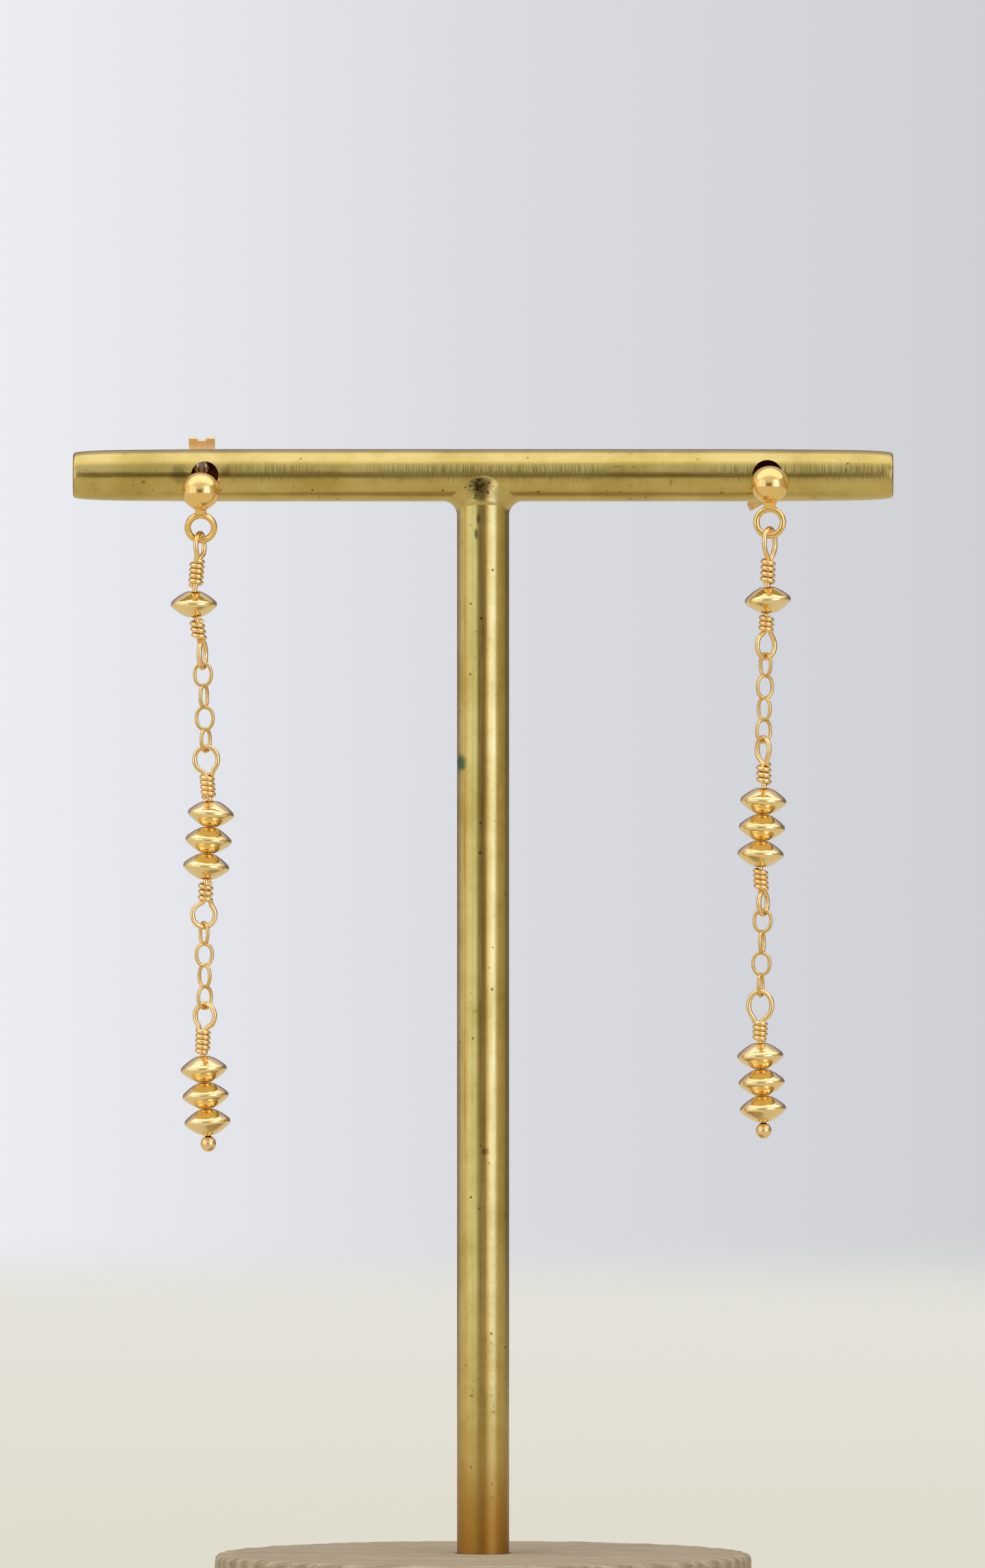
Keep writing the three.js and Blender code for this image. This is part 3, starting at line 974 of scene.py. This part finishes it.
@dataclass(frozen=True)
class Stud:
    """Ball stud with a soldered ring, its post, and the butterfly clutch behind the crossbar."""

    side: Side
    tilt: float  # degrees by which the ball tips forward
    ring_drop: float  # from the ball's centre to the ring's
    clutch_turn: float  # degrees about the post
    hinge: Vector  # where the drop hangs in the ring
    ball: float = 2.0
    post: float = 0.4
    post_reach: float = 12.6
    ring: float = 1.4
    ring_wire: float = 0.35
    strip: float = 0.28  # thickness of the clutch's strip
    rib: float = 0.3  # height of the rib along the strip
    curl: float = 1.0  # radius of the curls
    curl_at: float = 1.8  # from the post to where they start
    curl_sweep: float = 285.0
    pierced: float = 0.5
    clutch_gap: float = 0.27  # from the crossbar's back to the middle of the strip

    def place(self) -> Matrix:
        """Returns where the ball's centre sits, tilted as its post is."""
        tilt = math.radians(self.tilt)
        reach = self.ring_drop + self.ring
        centre = self.hinge + Vector((0, -reach * math.sin(tilt), reach * math.cos(tilt)))
        return Matrix.Translation(centre * MM) @ Matrix.Rotation(tilt, 4, "X")

    def make_stud(self, gold: Material) -> None:
        """Turns ball and post in one, and solders the ring under the ball."""
        post, reach, ball = self.post, self.post_reach, self.ball
        rows = [(0, reach), (post * 0.55, reach), (post * 0.9, reach - 0.12), (post, reach - 0.35)]
        rows += [(post, reach - 1.5), (post * 0.78, reach - 1.62), (post * 0.78, reach - 1.85)]
        rows += [(post, reach - 1.97), (post, 2.35), (post + 0.06, 2.15), (post + 0.2, 2.02)]
        first = math.asin((post + 0.34) / ball)
        steps = 26
        for step in range(steps + 1):
            angle = first + (math.pi - first) * step / steps
            rows.append((ball * math.sin(angle) if step < steps else 0.0, ball * math.cos(angle)))
        body = turned("stud_body", rows, sides=56)
        place_mesh(body, Matrix.Rotation(-math.pi / 2, 4, "X"))
        rows = [(0, -1.6), (1.06, -1.69), (0.84, -1.86), (0.66, -2.08)]
        rows += [(0.6, -2.3), (0.56, -2.5), (0.34, -2.7), (0, -2.85)]
        neck = turned("stud_neck", rows, SMALL_SIDES)
        place_mesh(neck, Matrix.Diagonal((1.0, 0.6, 1.0, 1.0)))
        steps = 24
        pulled = self.ring / tightness(math.tau / steps)
        hang = Vector((0, 0, -self.ring_drop))
        circle = []
        for step in range(steps):
            angle = math.tau * step / steps
            circle.append(Vector((math.cos(angle), 0, math.sin(angle))) * pulled + hang)
        ring = bent_wire("stud_ring", circle, self.ring_wire, closed=True)
        piece = join(f"{self.side.value}_ball_stud", body, neck, ring)
        place_mesh(piece, self.place())
        mount_piece(piece, Body.STAND, Slot.GOLD, gold, f"{self.side.value}_stud")

    def make_clutch(self, gold: Material) -> None:
        """Curls a ribbed strip back on itself at both ends and pierces it for the post."""
        # Lines along the strip, closer at its edges and at the foot of the rib.
        columns = [-1.39, -1.33, -0.98, -0.62, -0.42, 0.0, 0.42, 0.62, 0.98, 1.33, 1.39]
        deselect()
        bpy.ops.mesh.primitive_grid_add(x_subdivisions=6, y_subdivisions=len(columns) - 1, size=2)
        piece = bpy.context.object
        piece.name = f"{self.side.value}_butterfly_clutch"
        half = (len(columns) - 1) / 2
        for vertex in piece.data.vertices:
            across = columns[round((vertex.co.y + 1) * half)]
            rib = self.rib if abs(across) < 0.5 else 0.0
            vertex.co = Vector((vertex.co.x * self.curl_at, rib, across)) * MM
        for side in (1, -1):
            pick(piece)
            edge = side * self.curl_at * MM
            bpy.ops.object.mode_set(mode="EDIT")
            bpy.ops.mesh.select_all(action="DESELECT")
            bpy.ops.object.mode_set(mode="OBJECT")
            for vertex in piece.data.vertices:
                vertex.select = abs(vertex.co.x - edge) < 1e-6 and vertex.co.y < self.curl * MM / 2
            for line in piece.data.edges:
                line.select = all(piece.data.vertices[i].select for i in line.vertices)
            bpy.ops.object.mode_set(mode="EDIT")
            bpy.ops.mesh.spin(
                steps=26,
                angle=side * math.radians(self.curl_sweep),
                center=(edge, self.curl * MM, 0),
                axis=(0, 0, 1),
            )
            bpy.ops.object.mode_set(mode="OBJECT")
        finish_mesh(piece)
        apply_modifier(piece, "SOLIDIFY", thickness=self.strip * MM, offset=0.0)
        apply_modifier(piece, "BEVEL", width=0.05 * MM, segments=2, limit_method="ANGLE")
        hole = self.pierced
        drill = turned("pierce", [(0, -1), (hole, -1), (hole, 1.2), (0, 1.2)], SMALL_SIDES)
        place_mesh(drill, Matrix.Rotation(-math.pi / 2, 4, "X"))
        cut(piece, drill)
        finish_mesh(piece, angle=35.0)
        tilt = math.radians(self.tilt)
        centre = self.place().translation / MM
        behind = -centre.y * math.cos(tilt) + (BAR_HEIGHT - centre.z) * math.sin(tilt)
        plate = behind + TUBE + self.clutch_gap
        turn = Matrix.Rotation(math.radians(90 + self.clutch_turn), 4, "Y")
        place_mesh(piece, self.place() @ Matrix.Translation((0, plate * MM, 0)) @ turn)
        mount_piece(piece, Body.STAND, Slot.GOLD, gold, f"{self.side.value}_clutch")


# ---------------------------------------------------------------- drops


@dataclass(frozen=True)
class End:
    """One wrapped loop and its coils. Angles are degrees; the coils end at the angle of the tail."""

    loop_x: float
    turn: float  # side of the loop from which the wire starts to coil, 0 to the right, 270 in front
    wrap_x: float
    wraps: float
    tail: float = 180.0

    def flipped(self) -> End:
        """Returns a lower end as the upper one that it becomes when the link is turned half round."""
        return End(-self.loop_x, 180 - self.turn, -self.wrap_x, self.wraps, 180 - self.tail)


@dataclass(frozen=True)
class Link:
    """One hard piece of a drop: a loop, coils, beads on the core, and a second loop or a pin's end."""

    node: str
    beads: tuple[int, ...]
    lean: float  # degrees by which the beads tip sideways
    bare: float  # straight wire between the beads and the upper coils
    upper: End
    lower: End | None = None


@dataclass(frozen=True)
class Chain:
    """Cable chain between two loops, with the turn of each of its oval links in degrees."""

    node: str
    turns: tuple[float, ...]


@dataclass(frozen=True)
class Drop:
    """Everything that swings in one stud's ring."""

    side: Side
    body: Body
    depth: float  # how far forward of the stand's middle it hangs
    links: tuple[Link, ...]
    chains: tuple[Chain, ...]
    wire: float = 0.27
    loop_width: float = 3.0
    coil_pitch: float = 0.525  # the closest that the coils may lie
    bead_pitch: float = 2.8
    bead_spin: float = 37.0  # degrees from bead to bead, so that no two show the same side
    seat: float = 0.06  # bare wire between the beads and the lower coils
    tuck: float = 0.12  # how far the wire's end is pressed in
    unevenness: float = 0.006
    pin_gap: float = 0.12
    pin_ball: float = 0.82
    pin_rise: float = 0.12  # how far the melted ball is drawn up along the wire
    chain_wire: float = 0.195
    chain_width: float = 2.15

    def make(self, pattern: Object, bead_gold: Material, wire_gold: Material, chain_gold: Material) -> None:
        """Makes every piece of the drop, from the top down.

        Args:
            pattern: Saucer bead at the origin that each bead is copied from.
            bead_gold: Material of the beads.
            wire_gold: Material of the loops and pins.
            chain_gold: Material of the chain.
        """
        for link in self.links:
            self._make_link(link, wire_gold)
            for number in link.beads:
                node = f"{self.side.value}_saucer_{number}"
                spin = Matrix.Rotation(math.radians(self.bead_spin * number), 4, "Z")
                lean = Matrix.Rotation(math.radians(link.lean), 4, "Y")
                matrix = Matrix.Translation(middle(node) * MM) @ lean @ spin
                bead = copy_piece(pattern, f"{self.side.value}_saucer_bead_{number}", matrix)
                mount_piece(bead, self.body, Slot.GOLD, bead_gold, node)
        for place, chain in enumerate(self.chains):
            self._make_chain(chain, self.links[place], self.links[place + 1], chain_gold)

    def _stack(self, link: Link) -> tuple[Vector, Vector]:
        """Returns the top and bottom of a link's beads on its core, in mm."""
        centres = [middle(f"{self.side.value}_saucer_{number}") for number in link.beads]
        half = self.bead_pitch / 2
        slide = Vector((half * math.tan(math.radians(link.lean)), 0, half))
        return centres[0] + slide, centres[-1] - slide

    def _make_link(self, link: Link, gold: Material) -> None:
        """Bends the wire of one link: coils, loop, core through the beads, and the other end.

        Args:
            link: Which link.
            gold: Its material.
        """
        node = f"{self.side.value}_{link.node}"
        low, high = (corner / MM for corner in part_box(node))
        top, bottom = self._stack(link)
        chance = Random(node)
        upper = self._end_route(link.upper, top, link.upper.wraps + link.bare, link.bare, high.z, chance)
        if link.lower is None:
            tip = bottom - Vector((0, 0, self.pin_gap + self.pin_ball))
            wire = bent_wire("pin_wire", [tip, bottom, (top + bottom) / 2, top, *upper], self.wire)
            ball = self._pin_ball()
            place_mesh(ball, Matrix.Translation(tip * MM))
            piece = join(f"{self.side.value}_wrapped_head_pin", wire, ball)
        else:
            flipped = link.lower.flipped()
            start = Vector((-bottom.x, bottom.y, -bottom.z))
            route = self._end_route(flipped, start, flipped.wraps + self.seat, self.seat, -low.z, chance)
            lower = [Vector((-p.x, p.y, -p.z)) for p in reversed(route)]
            whole = [*lower, bottom, (top + bottom) / 2, top, *upper]
            piece = bent_wire(f"{self.side.value}_wrapped_{link.node}", whole, self.wire)
        mount_piece(piece, self.body, Slot.GOLD, gold, node)

    def _end_route(
        self, end: End, bead: Vector, reach: float, bare: float, tip: float, chance: Random
    ) -> list[Vector]:
        """Routes the wire from the beads up through the coils, round the loop and down the coils.

        Args:
            end: Sizes of this end, as it would be if it pointed up.
            bead: Top of the beads on the core.
            reach: Height of the loop's foot above the beads.
            bare: Straight wire between the beads and the coils.
            tip: Height of the loop's outer top.
            chance: Source of the small unevenness of handwork.

        Returns:
            Points that pull the wire into shape, in mm.
        """
        foot_z, tail_z = bead.z + reach, bead.z + bare
        ease = 0.3  # share of the sideways step that the coils themselves take at each end
        foot = Vector((end.wrap_x + ease * (end.loop_x - end.wrap_x), bead.y, foot_z))
        last = Vector((end.wrap_x + ease * (bead.x - end.wrap_x), bead.y, tail_z))
        turn = math.radians(end.turn)
        out = Vector((math.cos(turn), math.sin(turn), 0))
        high = tip - self.wire
        low = foot_z + 0.12
        steps, first, final = 18, math.radians(232), math.radians(-52)
        shrink = tightness((first - final) / steps)
        wide, tall = (self.loop_width / 2 - self.wire) / shrink, (high - low) / 2 / shrink
        centre = Vector((end.loop_x, bead.y, (high + low) / 2))
        route = [last, (last + foot) / 2, foot]
        for step in range(steps + 1):
            angle = first + (final - first) * step / steps
            route.append(centre + out * (wide * math.cos(angle)) + Vector((0, 0, tall * math.sin(angle))))
        per_turn = 16
        radius = 2 * self.wire / tightness(math.tau / per_turn)
        begin, finish = foot_z - 0.1, tail_z + self.wire
        most = end.turn + 360 * (begin - finish) / self.coil_pitch
        stop = end.tail + 360 * math.floor((most - end.tail) / 360)
        count = round((stop - end.turn) / 360 * per_turn)
        for step in range(count + 1):
            share = step / count
            angle = math.radians(end.turn + (stop - end.turn) * share)
            axis = foot.lerp(last, share)
            wobble = chance.uniform(-self.unevenness, 2 * self.unevenness)
            slip = chance.uniform(-self.unevenness, self.unevenness)
            height = begin + (finish - begin) * share + slip
            arm = radius + wobble - (self.tuck if step == count else 0.0)
            route.append(Vector((axis.x + arm * math.cos(angle), axis.y + arm * math.sin(angle), height)))
        return route

    def _pin_ball(self) -> Object:
        """Turns the melted ball at the end of a head pin, slightly drawn up along the wire."""
        radius = self.pin_ball
        rows = []
        steps = 18
        for step in range(steps + 1):
            angle = math.pi * step / steps
            rise = self.pin_rise * (1 + math.cos(angle)) ** 3 / 8
            edge = 0.0 if step in (0, steps) else radius * math.sin(angle)
            rows.append((edge, radius * math.cos(angle) + rise))
        return turned("pin_ball", rows, SMALL_SIDES)

    def _make_chain(self, chain: Chain, above: Link, below: Link, gold: Material) -> None:
        """Threads oval links between the loops above and below.

        Args:
            chain: Which chain.
            above: Link whose lower loop holds it.
            below: Link whose upper loop it holds.
            gold: Its material.
        """
        wire = 2 * self.chain_wire
        pass_by = 2 * self.wire + wire
        start_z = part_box(f"{self.side.value}_{above.node}")[0].z / MM + pass_by
        end_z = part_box(f"{self.side.value}_{below.node}")[1].z / MM - pass_by
        count = len(chain.turns)
        length = (start_z - end_z + wire * (count - 1)) / count
        start_x, end_x = above.lower.loop_x, below.upper.loop_x
        pieces = []
        sides = 20
        shrink = tightness(math.tau / sides)
        wide = (self.chain_width / 2 - self.chain_wire) / shrink
        tall = (length / 2 - self.chain_wire) / shrink
        oval = []
        for step in range(sides):
            angle = math.tau * step / sides
            cos, sin = math.cos(angle), math.sin(angle)
            full = 0.9  # below 1, the ends of the oval are fuller than an ellipse's
            across = math.copysign(abs(cos) ** full, cos)
            along = math.copysign(abs(sin) ** full, sin)
            oval.append(Vector((wide * across, 0, tall * along)))
        pattern = bent_wire("chain_pattern", oval, self.chain_wire, closed=True)
        for number, turn in enumerate(chain.turns):
            height = start_z - length / 2 - number * (length - wire)
            share = (start_z - height) / (start_z - end_z)
            across = start_x + (end_x - start_x) * share
            place = Matrix.Translation(Vector((across, self.depth, height)) * MM)
            matrix = place @ Matrix.Rotation(math.radians(turn), 4, "Z")
            pieces.append(copy_piece(pattern, f"{chain.node}_{number}", matrix))
        remove(pattern)
        piece = join(f"{self.side.value}_{chain.node}_links", *pieces)
        mount_piece(piece, self.body, Slot.GOLD, gold, f"{self.side.value}_{chain.node}")


def saucer_pattern() -> Object:
    """Turns one saucer bead: two shallow domes that meet at a thin rim, bored for the wire."""
    # Radius and height from the rim up over the dome and down into the bore.
    dome = [(2.45, 0.0), (2.44, 0.09), (2.41, 0.18), (2.36, 0.27), (2.27, 0.37), (2.1, 0.52)]
    dome += [(1.88, 0.69), (1.64, 0.87), (1.39, 1.03), (1.16, 1.16), (0.96, 1.26), (0.8, 1.33)]
    dome += [(0.65, 1.375), (0.55, 1.38), (0.47, 1.34), (0.43, 1.2), (0.42, 0.6)]
    rows = [(radius, -height) for radius, height in reversed(dome[1:])] + dome
    return turned("saucer_pattern", rows, sides=72, closed=True)


LEFT_LINKS: tuple[Link, ...] = (
    Link(
        "eye_link_1",
        (1,),
        0.0,
        0.34,
        End(-30.0, 250.0, -30.4, 3.0, 180.0),
        End(-29.75, 75.0, -30.2, 2.3, 0.0),
    ),
    Link(
        "eye_link_2",
        (2, 3, 4),
        5.0,
        0.08,
        End(-29.35, 0.0, -29.25, 2.77, 190.0),
        End(-29.6, 15.0, -29.35, 2.25, 10.0),
    ),
    Link("head_pin", (5, 6, 7), -4.0, 0.08, End(-29.49, 147.0, -29.75, 2.75, 320.0)),
)
RIGHT_LINKS: tuple[Link, ...] = (
    Link(
        "eye_link_1",
        (1,),
        -4.0,
        0.08,
        End(30.35, 62.0, 30.15, 2.9, 120.0),
        End(29.95, 41.0, 29.95, 1.9, 90.0),
    ),
    Link(
        "eye_link_2",
        (2, 3, 4),
        3.0,
        0.16,
        End(29.67, -60.0, 29.75, 2.45, 100.0),
        End(29.65, 68.0, 29.4, 2.4, 140.0),
    ),
    Link("head_pin", (5, 6, 7), -3.0, 0.08, End(29.36, 185.0, 29.35, 2.2, 350.0)),
)
LEFT_CHAINS: tuple[Chain, ...] = (
    Chain("chain_upper", (0.0, 66.0, -6.0, 60.0)),
    Chain("chain_lower", (-63.0, 20.0, -50.0, 40.0)),
)
RIGHT_CHAINS: tuple[Chain, ...] = (
    Chain("chain_upper", (-53.0, 28.0, -47.0, 35.0)),
    Chain("chain_lower", (0.0, 75.0, 4.0, 74.0)),
)


# ---------------------------------------------------------------- studio


@dataclass(frozen=True)
class Tone:
    """Light that comes from one direction of the room, in linear red, green and blue."""

    angle: float  # degrees
    light: tuple[float, float, float]


# Round the horizon, from 0 behind the camera to the right: a window with a dark shape beside it,
# a dim corner, and foliage beyond a second window on the left.
HORIZON: tuple[Tone, ...] = (
    Tone(-180, (0.2, 0.17, 0.2)),
    Tone(-140, (0.26, 0.22, 0.28)),
    Tone(-120, (0.45, 0.42, 0.42)),
    Tone(-104, (0.63, 0.6, 0.54)),
    Tone(-85, (0.66, 0.62, 0.56)),
    Tone(-72, (0.8, 0.77, 0.78)),
    Tone(-57, (0.88, 0.92, 1.05)),
    Tone(-50, (0.62, 0.78, 0.8)),
    Tone(-33, (0.78, 0.9, 1.02)),
    Tone(-26, (0.45, 0.44, 0.4)),
    Tone(-17, (0.2, 0.17, 0.13)),
    Tone(-12, (0.17, 0.14, 0.105)),
    Tone(2, (0.17, 0.14, 0.105)),
    Tone(7, (0.19, 0.16, 0.12)),
    Tone(13, (0.37, 0.31, 0.27)),
    Tone(22, (0.95, 0.82, 0.85)),
    Tone(33, (1.15, 1.3, 1.9)),
    Tone(52, (1.15, 1.42, 2.4)),
    Tone(60, (0.62, 0.62, 0.62)),
    Tone(72, (0.42, 0.37, 0.26)),
    Tone(104, (0.33, 0.29, 0.19)),
    Tone(126, (0.13, 0.12, 0.14)),
    Tone(180, (0.2, 0.17, 0.2)),
)
# Over the top of the room, from the horizon behind the camera up through a bright ceiling.
OVERHEAD: tuple[Tone, ...] = (
    Tone(-180, (0.3, 0.28, 0.33)),
    Tone(-20, (0.4, 0.38, 0.32)),
    Tone(12, (0.52, 0.52, 0.52)),
    Tone(30, (0.5, 0.54, 0.57)),
    Tone(44, (0.56, 0.55, 0.54)),
    Tone(54, (0.74, 0.72, 0.68)),
    Tone(66, (1.03, 1.04, 1.1)),
    Tone(110, (1.03, 1.06, 1.18)),
    Tone(118, (0.72, 0.7, 0.76)),
    Tone(128, (0.45, 0.43, 0.5)),
    Tone(180, (0.3, 0.28, 0.33)),
)


@dataclass(frozen=True)
class Studio:
    """Camera, pale floor, soft light and the room round them."""

    distance: float = 2000.0
    camera_height: float = 112.8
    aim: tuple[float, float] = (1.0, 97.24)
    lens: float = 432.7
    floor_radius: float = 1700.0
    light_place: Place = (-0.25, -0.3, 1.2)  # m
    light_turn: tuple[float, float, float] = (14.0, -12.0, 0.0)  # degrees
    light_width: float = 0.7  # m
    light_watts: float = 4.0
    room: float = 1.35  # how much brighter the room is than the backdrop that the eye sees
    ceiling: tuple[float, float] = (22.0, 36.0)  # degrees up, between which the ceiling takes over
    gap: tuple[tuple[float, float], ...] = ((-33.0, -21.0), (24.0, 12.0))  # sides of the dark shape
    gap_ceiling: tuple[float, float] = (5.0, 20.0)  # degrees up, where it does so over that shape
    backdrop: tuple[str, str, str] = ("#EBEDF2", "#DADBE1", "#CED0D4")  # left, middle, right
    backdrop_half: float = 0.027  # radians from its middle to either side

    def make_camera(self) -> None:
        """Adds the camera, level with the upper pole and looking very slightly down."""
        across, height = self.aim
        tip = math.atan2(self.camera_height - height, self.distance)
        bpy.ops.object.camera_add(
            location=Vector((across, -self.distance, self.camera_height)) * MM,
            rotation=(math.pi / 2 - tip, 0, 0),
        )
        camera = bpy.context.object
        camera.data.lens = self.lens
        camera.data.clip_end = 50
        bpy.context.scene.camera = camera

    def make_floor(self) -> None:
        """Adds the floor, a wide disc that fades out towards its edge."""
        deselect()
        bpy.ops.mesh.primitive_circle_add(vertices=96, radius=self.floor_radius * MM, fill_type="NGON")
        floor = bpy.context.object
        floor.name = "studio_floor"
        bpy.ops.object.mode_set(mode="EDIT")
        bpy.ops.mesh.select_all(action="SELECT")
        bpy.ops.mesh.inset(thickness=0.3 * self.floor_radius * MM, depth=0.0)
        bpy.ops.object.mode_set(mode="OBJECT")
        floor.data.materials.append(CreamPaper().make())

    def make_light(self) -> None:
        """Adds one wide soft light overhead, which the metal doesn't mirror."""
        bpy.ops.object.light_add(type="AREA", location=self.light_place)
        light = bpy.context.object
        light.data.shape = "DISK"
        light.data.size = self.light_width
        light.data.energy = self.light_watts
        light.rotation_euler = [math.radians(turn) for turn in self.light_turn]
        light.visible_glossy = False

    def make_room(self) -> None:
        """Builds the room as light by direction, with a plain pale background for the eye."""
        world = bpy.data.worlds.new("soft_studio")
        bpy.context.scene.world = world
        world.use_nodes = True
        world.node_tree.nodes.clear()
        room = Graph(world.node_tree)
        direction = room.add("TexCoord").outputs["Generated"]
        right, back, up = room.add("SeparateXYZ", {0: direction}).outputs
        ahead = room.add("Math", {0: back, 1: -1.0}, operation="MULTIPLY").outputs[0]
        angles = []
        turns = (("ARCTAN2", right, ahead), ("ARCTAN2", up, ahead), ("ARCSINE", up, 0.0))
        for function, first, second in turns:
            angle = room.add("Math", {0: first, 1: second}, operation=function).outputs[0]
            degrees = {0: angle, 1: 180 / math.pi}
            angles.append(room.add("Math", degrees, operation="MULTIPLY").outputs[0])
        azimuth, pitch, elevation = angles
        low = self._tones(room, azimuth, HORIZON)
        high = self._tones(room, pitch, OVERHEAD)
        fades = (
            (elevation, self.ceiling),
            (elevation, self.gap_ceiling),
            *((azimuth, fade) for fade in self.gap),
        )
        rise, early, *gaps = (
            room.add(
                "MapRange",
                {"Value": angle, "From Min": start, "From Max": end},
                interpolation_type="SMOOTHSTEP",
            ).outputs[0]
            for angle, (start, end) in fades
        )
        for inside in gaps:
            early = room.add("Math", {0: early, 1: inside}, operation="MULTIPLY").outputs[0]
        cover = room.add("Math", {0: rise, 1: early}, operation="MAXIMUM").outputs[0]
        colour = room.add("Mix", {0: cover, 6: low, 7: high}, data_type="RGBA").outputs[2]
        across = room.add("Math", {0: right, 1: back}, operation="ARCTAN2").outputs[0]
        share = room.add(
            "MapRange", {"Value": across, "From Min": -self.backdrop_half, "From Max": self.backdrop_half}
        ).outputs[0]
        backdrop = room.add("ValToRGB", {0: share})
        ramp = backdrop.color_ramp.elements
        ramp[0].color, centre, ramp[1].color = (srgb(code) for code in self.backdrop)
        ramp.new(0.5).color = centre
        eye = room.add("LightPath").outputs["Is Camera Ray"]
        shown = room.add("Mix", {0: eye, 6: colour, 7: backdrop.outputs[0]}, data_type="RGBA").outputs[2]
        strength = room.add("Mix", {0: eye, 2: self.room, 3: 1.0}, data_type="FLOAT").outputs[0]
        glow = room.add("Background", {"Color": shown, "Strength": strength})
        room.add("OutputWorld", {"Surface": glow.outputs[0]})

    def _tones(self, room: Graph, angle: NodeSocket, tones: tuple[Tone, ...]) -> NodeSocket:
        """Blends a row of tones by angle.

        Args:
            room: Node tree of the room.
            angle: Angle in degrees, from -180 to 180.
            tones: Tones in order, the first at -180 and the last at 180.

        Returns:
            The light in that direction.
        """
        share = room.add("MapRange", {"Value": angle, "From Min": -180.0, "From Max": 180.0}).outputs[0]
        node = room.add("ValToRGB", {0: share})
        stops = node.color_ramp.elements
        stops[0].color, stops[1].color = (*tones[0].light, 1.0), (*tones[-1].light, 1.0)
        for tone in tones[1:-1]:
            stops.new((tone.angle + 180) / 360).color = (*tone.light, 1.0)
        return node.outputs[0]


# ---------------------------------------------------------------- assembly


def main() -> None:
    """Builds the stand, both earrings and the studio."""
    logging.basicConfig(level=logging.INFO, format="%(message)s")
    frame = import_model()
    bpy.context.scene.view_settings.view_transform = "Standard"
    studio = Studio()
    studio.make_camera()
    studio.make_floor()
    studio.make_light()
    studio.make_room()

    smudges = (
        Mark((-32.2, -2.75, 130.1), 1.2, "#54462A", 0.5),
        Mark((-27.2, -2.6, 130.4), 0.7, "#6A5426", 0.5),
    )
    flecks_and_painted_reflection = (
        Mark((-2.42, -1.36, 99.5), 1.2, "#3F6A48", 0.95),
        Mark((0.2, -2.7, 58.3), 0.5, "#5A4320", 0.6),
        # These two tall dark streaks are painted reflection: they widen the ragged edge of the dark band
        # that the pole mirrors.
        Mark((-0.5, -2.73, 125.4), 0.3, "#3E3013", 0.7, 2.6),
        Mark((-0.72, -2.68, 123.8), 0.32, "#3E3013", 0.75, 2.4),
    )
    rubs = (Rub(1.5, 13.0), Rub(35.0, 11.0), Rub(-22.5, 4.5))
    bar_brass = DrawnBrass(
        "drawn_brass_crossbar", Axis.X, smudges, pit_spacing=1.05, inside=2.33, rubs=rubs
    )
    # The pole's lowest part is painted darker and browner: painted shade and a painted reflection of the
    # wooden foot.
    pole_brass = DrawnBrass("drawn_brass_pole", Axis.Z, flecks_and_painted_reflection, foot_painted_shade=(17.0, 33.0))
    stand = Stand()
    stand.foot(SawnWood().make())
    stand.crossbar(bar_brass.make())
    stand.pole(pole_brass.make())
    stand.joint(Solder().make())

    bead_gold = GoldFill("gold_filled_saucer_bead").make()
    wire_gold = GoldFill("gold_filled_wire", "#FBDCA0", "#F6CE86", (0.14, 0.24), 0.9).make()
    chain_gold = GoldFill("gold_filled_chain", "#EECB85", "#E7BE6C", (0.14, 0.24), 0.9).make()
    # The clutch's pale colour is partly its satin gold and partly painted light: a lighter copy of the
    # gold, standing in for the lamps that light it from the front.
    clutch_gold_painted_light = GoldFill("gold_filled_clutch_painted_light", "#FDECC4", "#FBE3B2", (0.7, 0.8), 0.9).make()
    stud_gold = GoldFill("gold_filled_ball", "#FAD88F", "#F3C673", (0.1, 0.15), 1.6).make()
    hinges = {joint["child"]: Vector(joint["pos_m"]) / MM for joint in frame["joints"]}
    left, right = hinges[Body.LEFT.value], hinges[Body.RIGHT.value]
    studs = (
        Stud(Side.LEFT, tilt=20.0, ring_drop=4.12, clutch_turn=0.0, hinge=left),
        Stud(Side.RIGHT, tilt=-1.0, ring_drop=4.0, clutch_turn=62.0, hinge=right),
    )
    for stud in studs:
        stud.make_stud(stud_gold)
        stud.make_clutch(clutch_gold_painted_light)
    pattern = saucer_pattern()
    drops = (
        Drop(Side.LEFT, Body.LEFT, left.y, LEFT_LINKS, LEFT_CHAINS),
        Drop(Side.RIGHT, Body.RIGHT, right.y, RIGHT_LINKS, RIGHT_CHAINS),
    )
    for drop in drops:
        drop.make(pattern, bead_gold, wire_gold, chain_gold)
    remove(pattern)


if __name__ == "__main__":
    main()
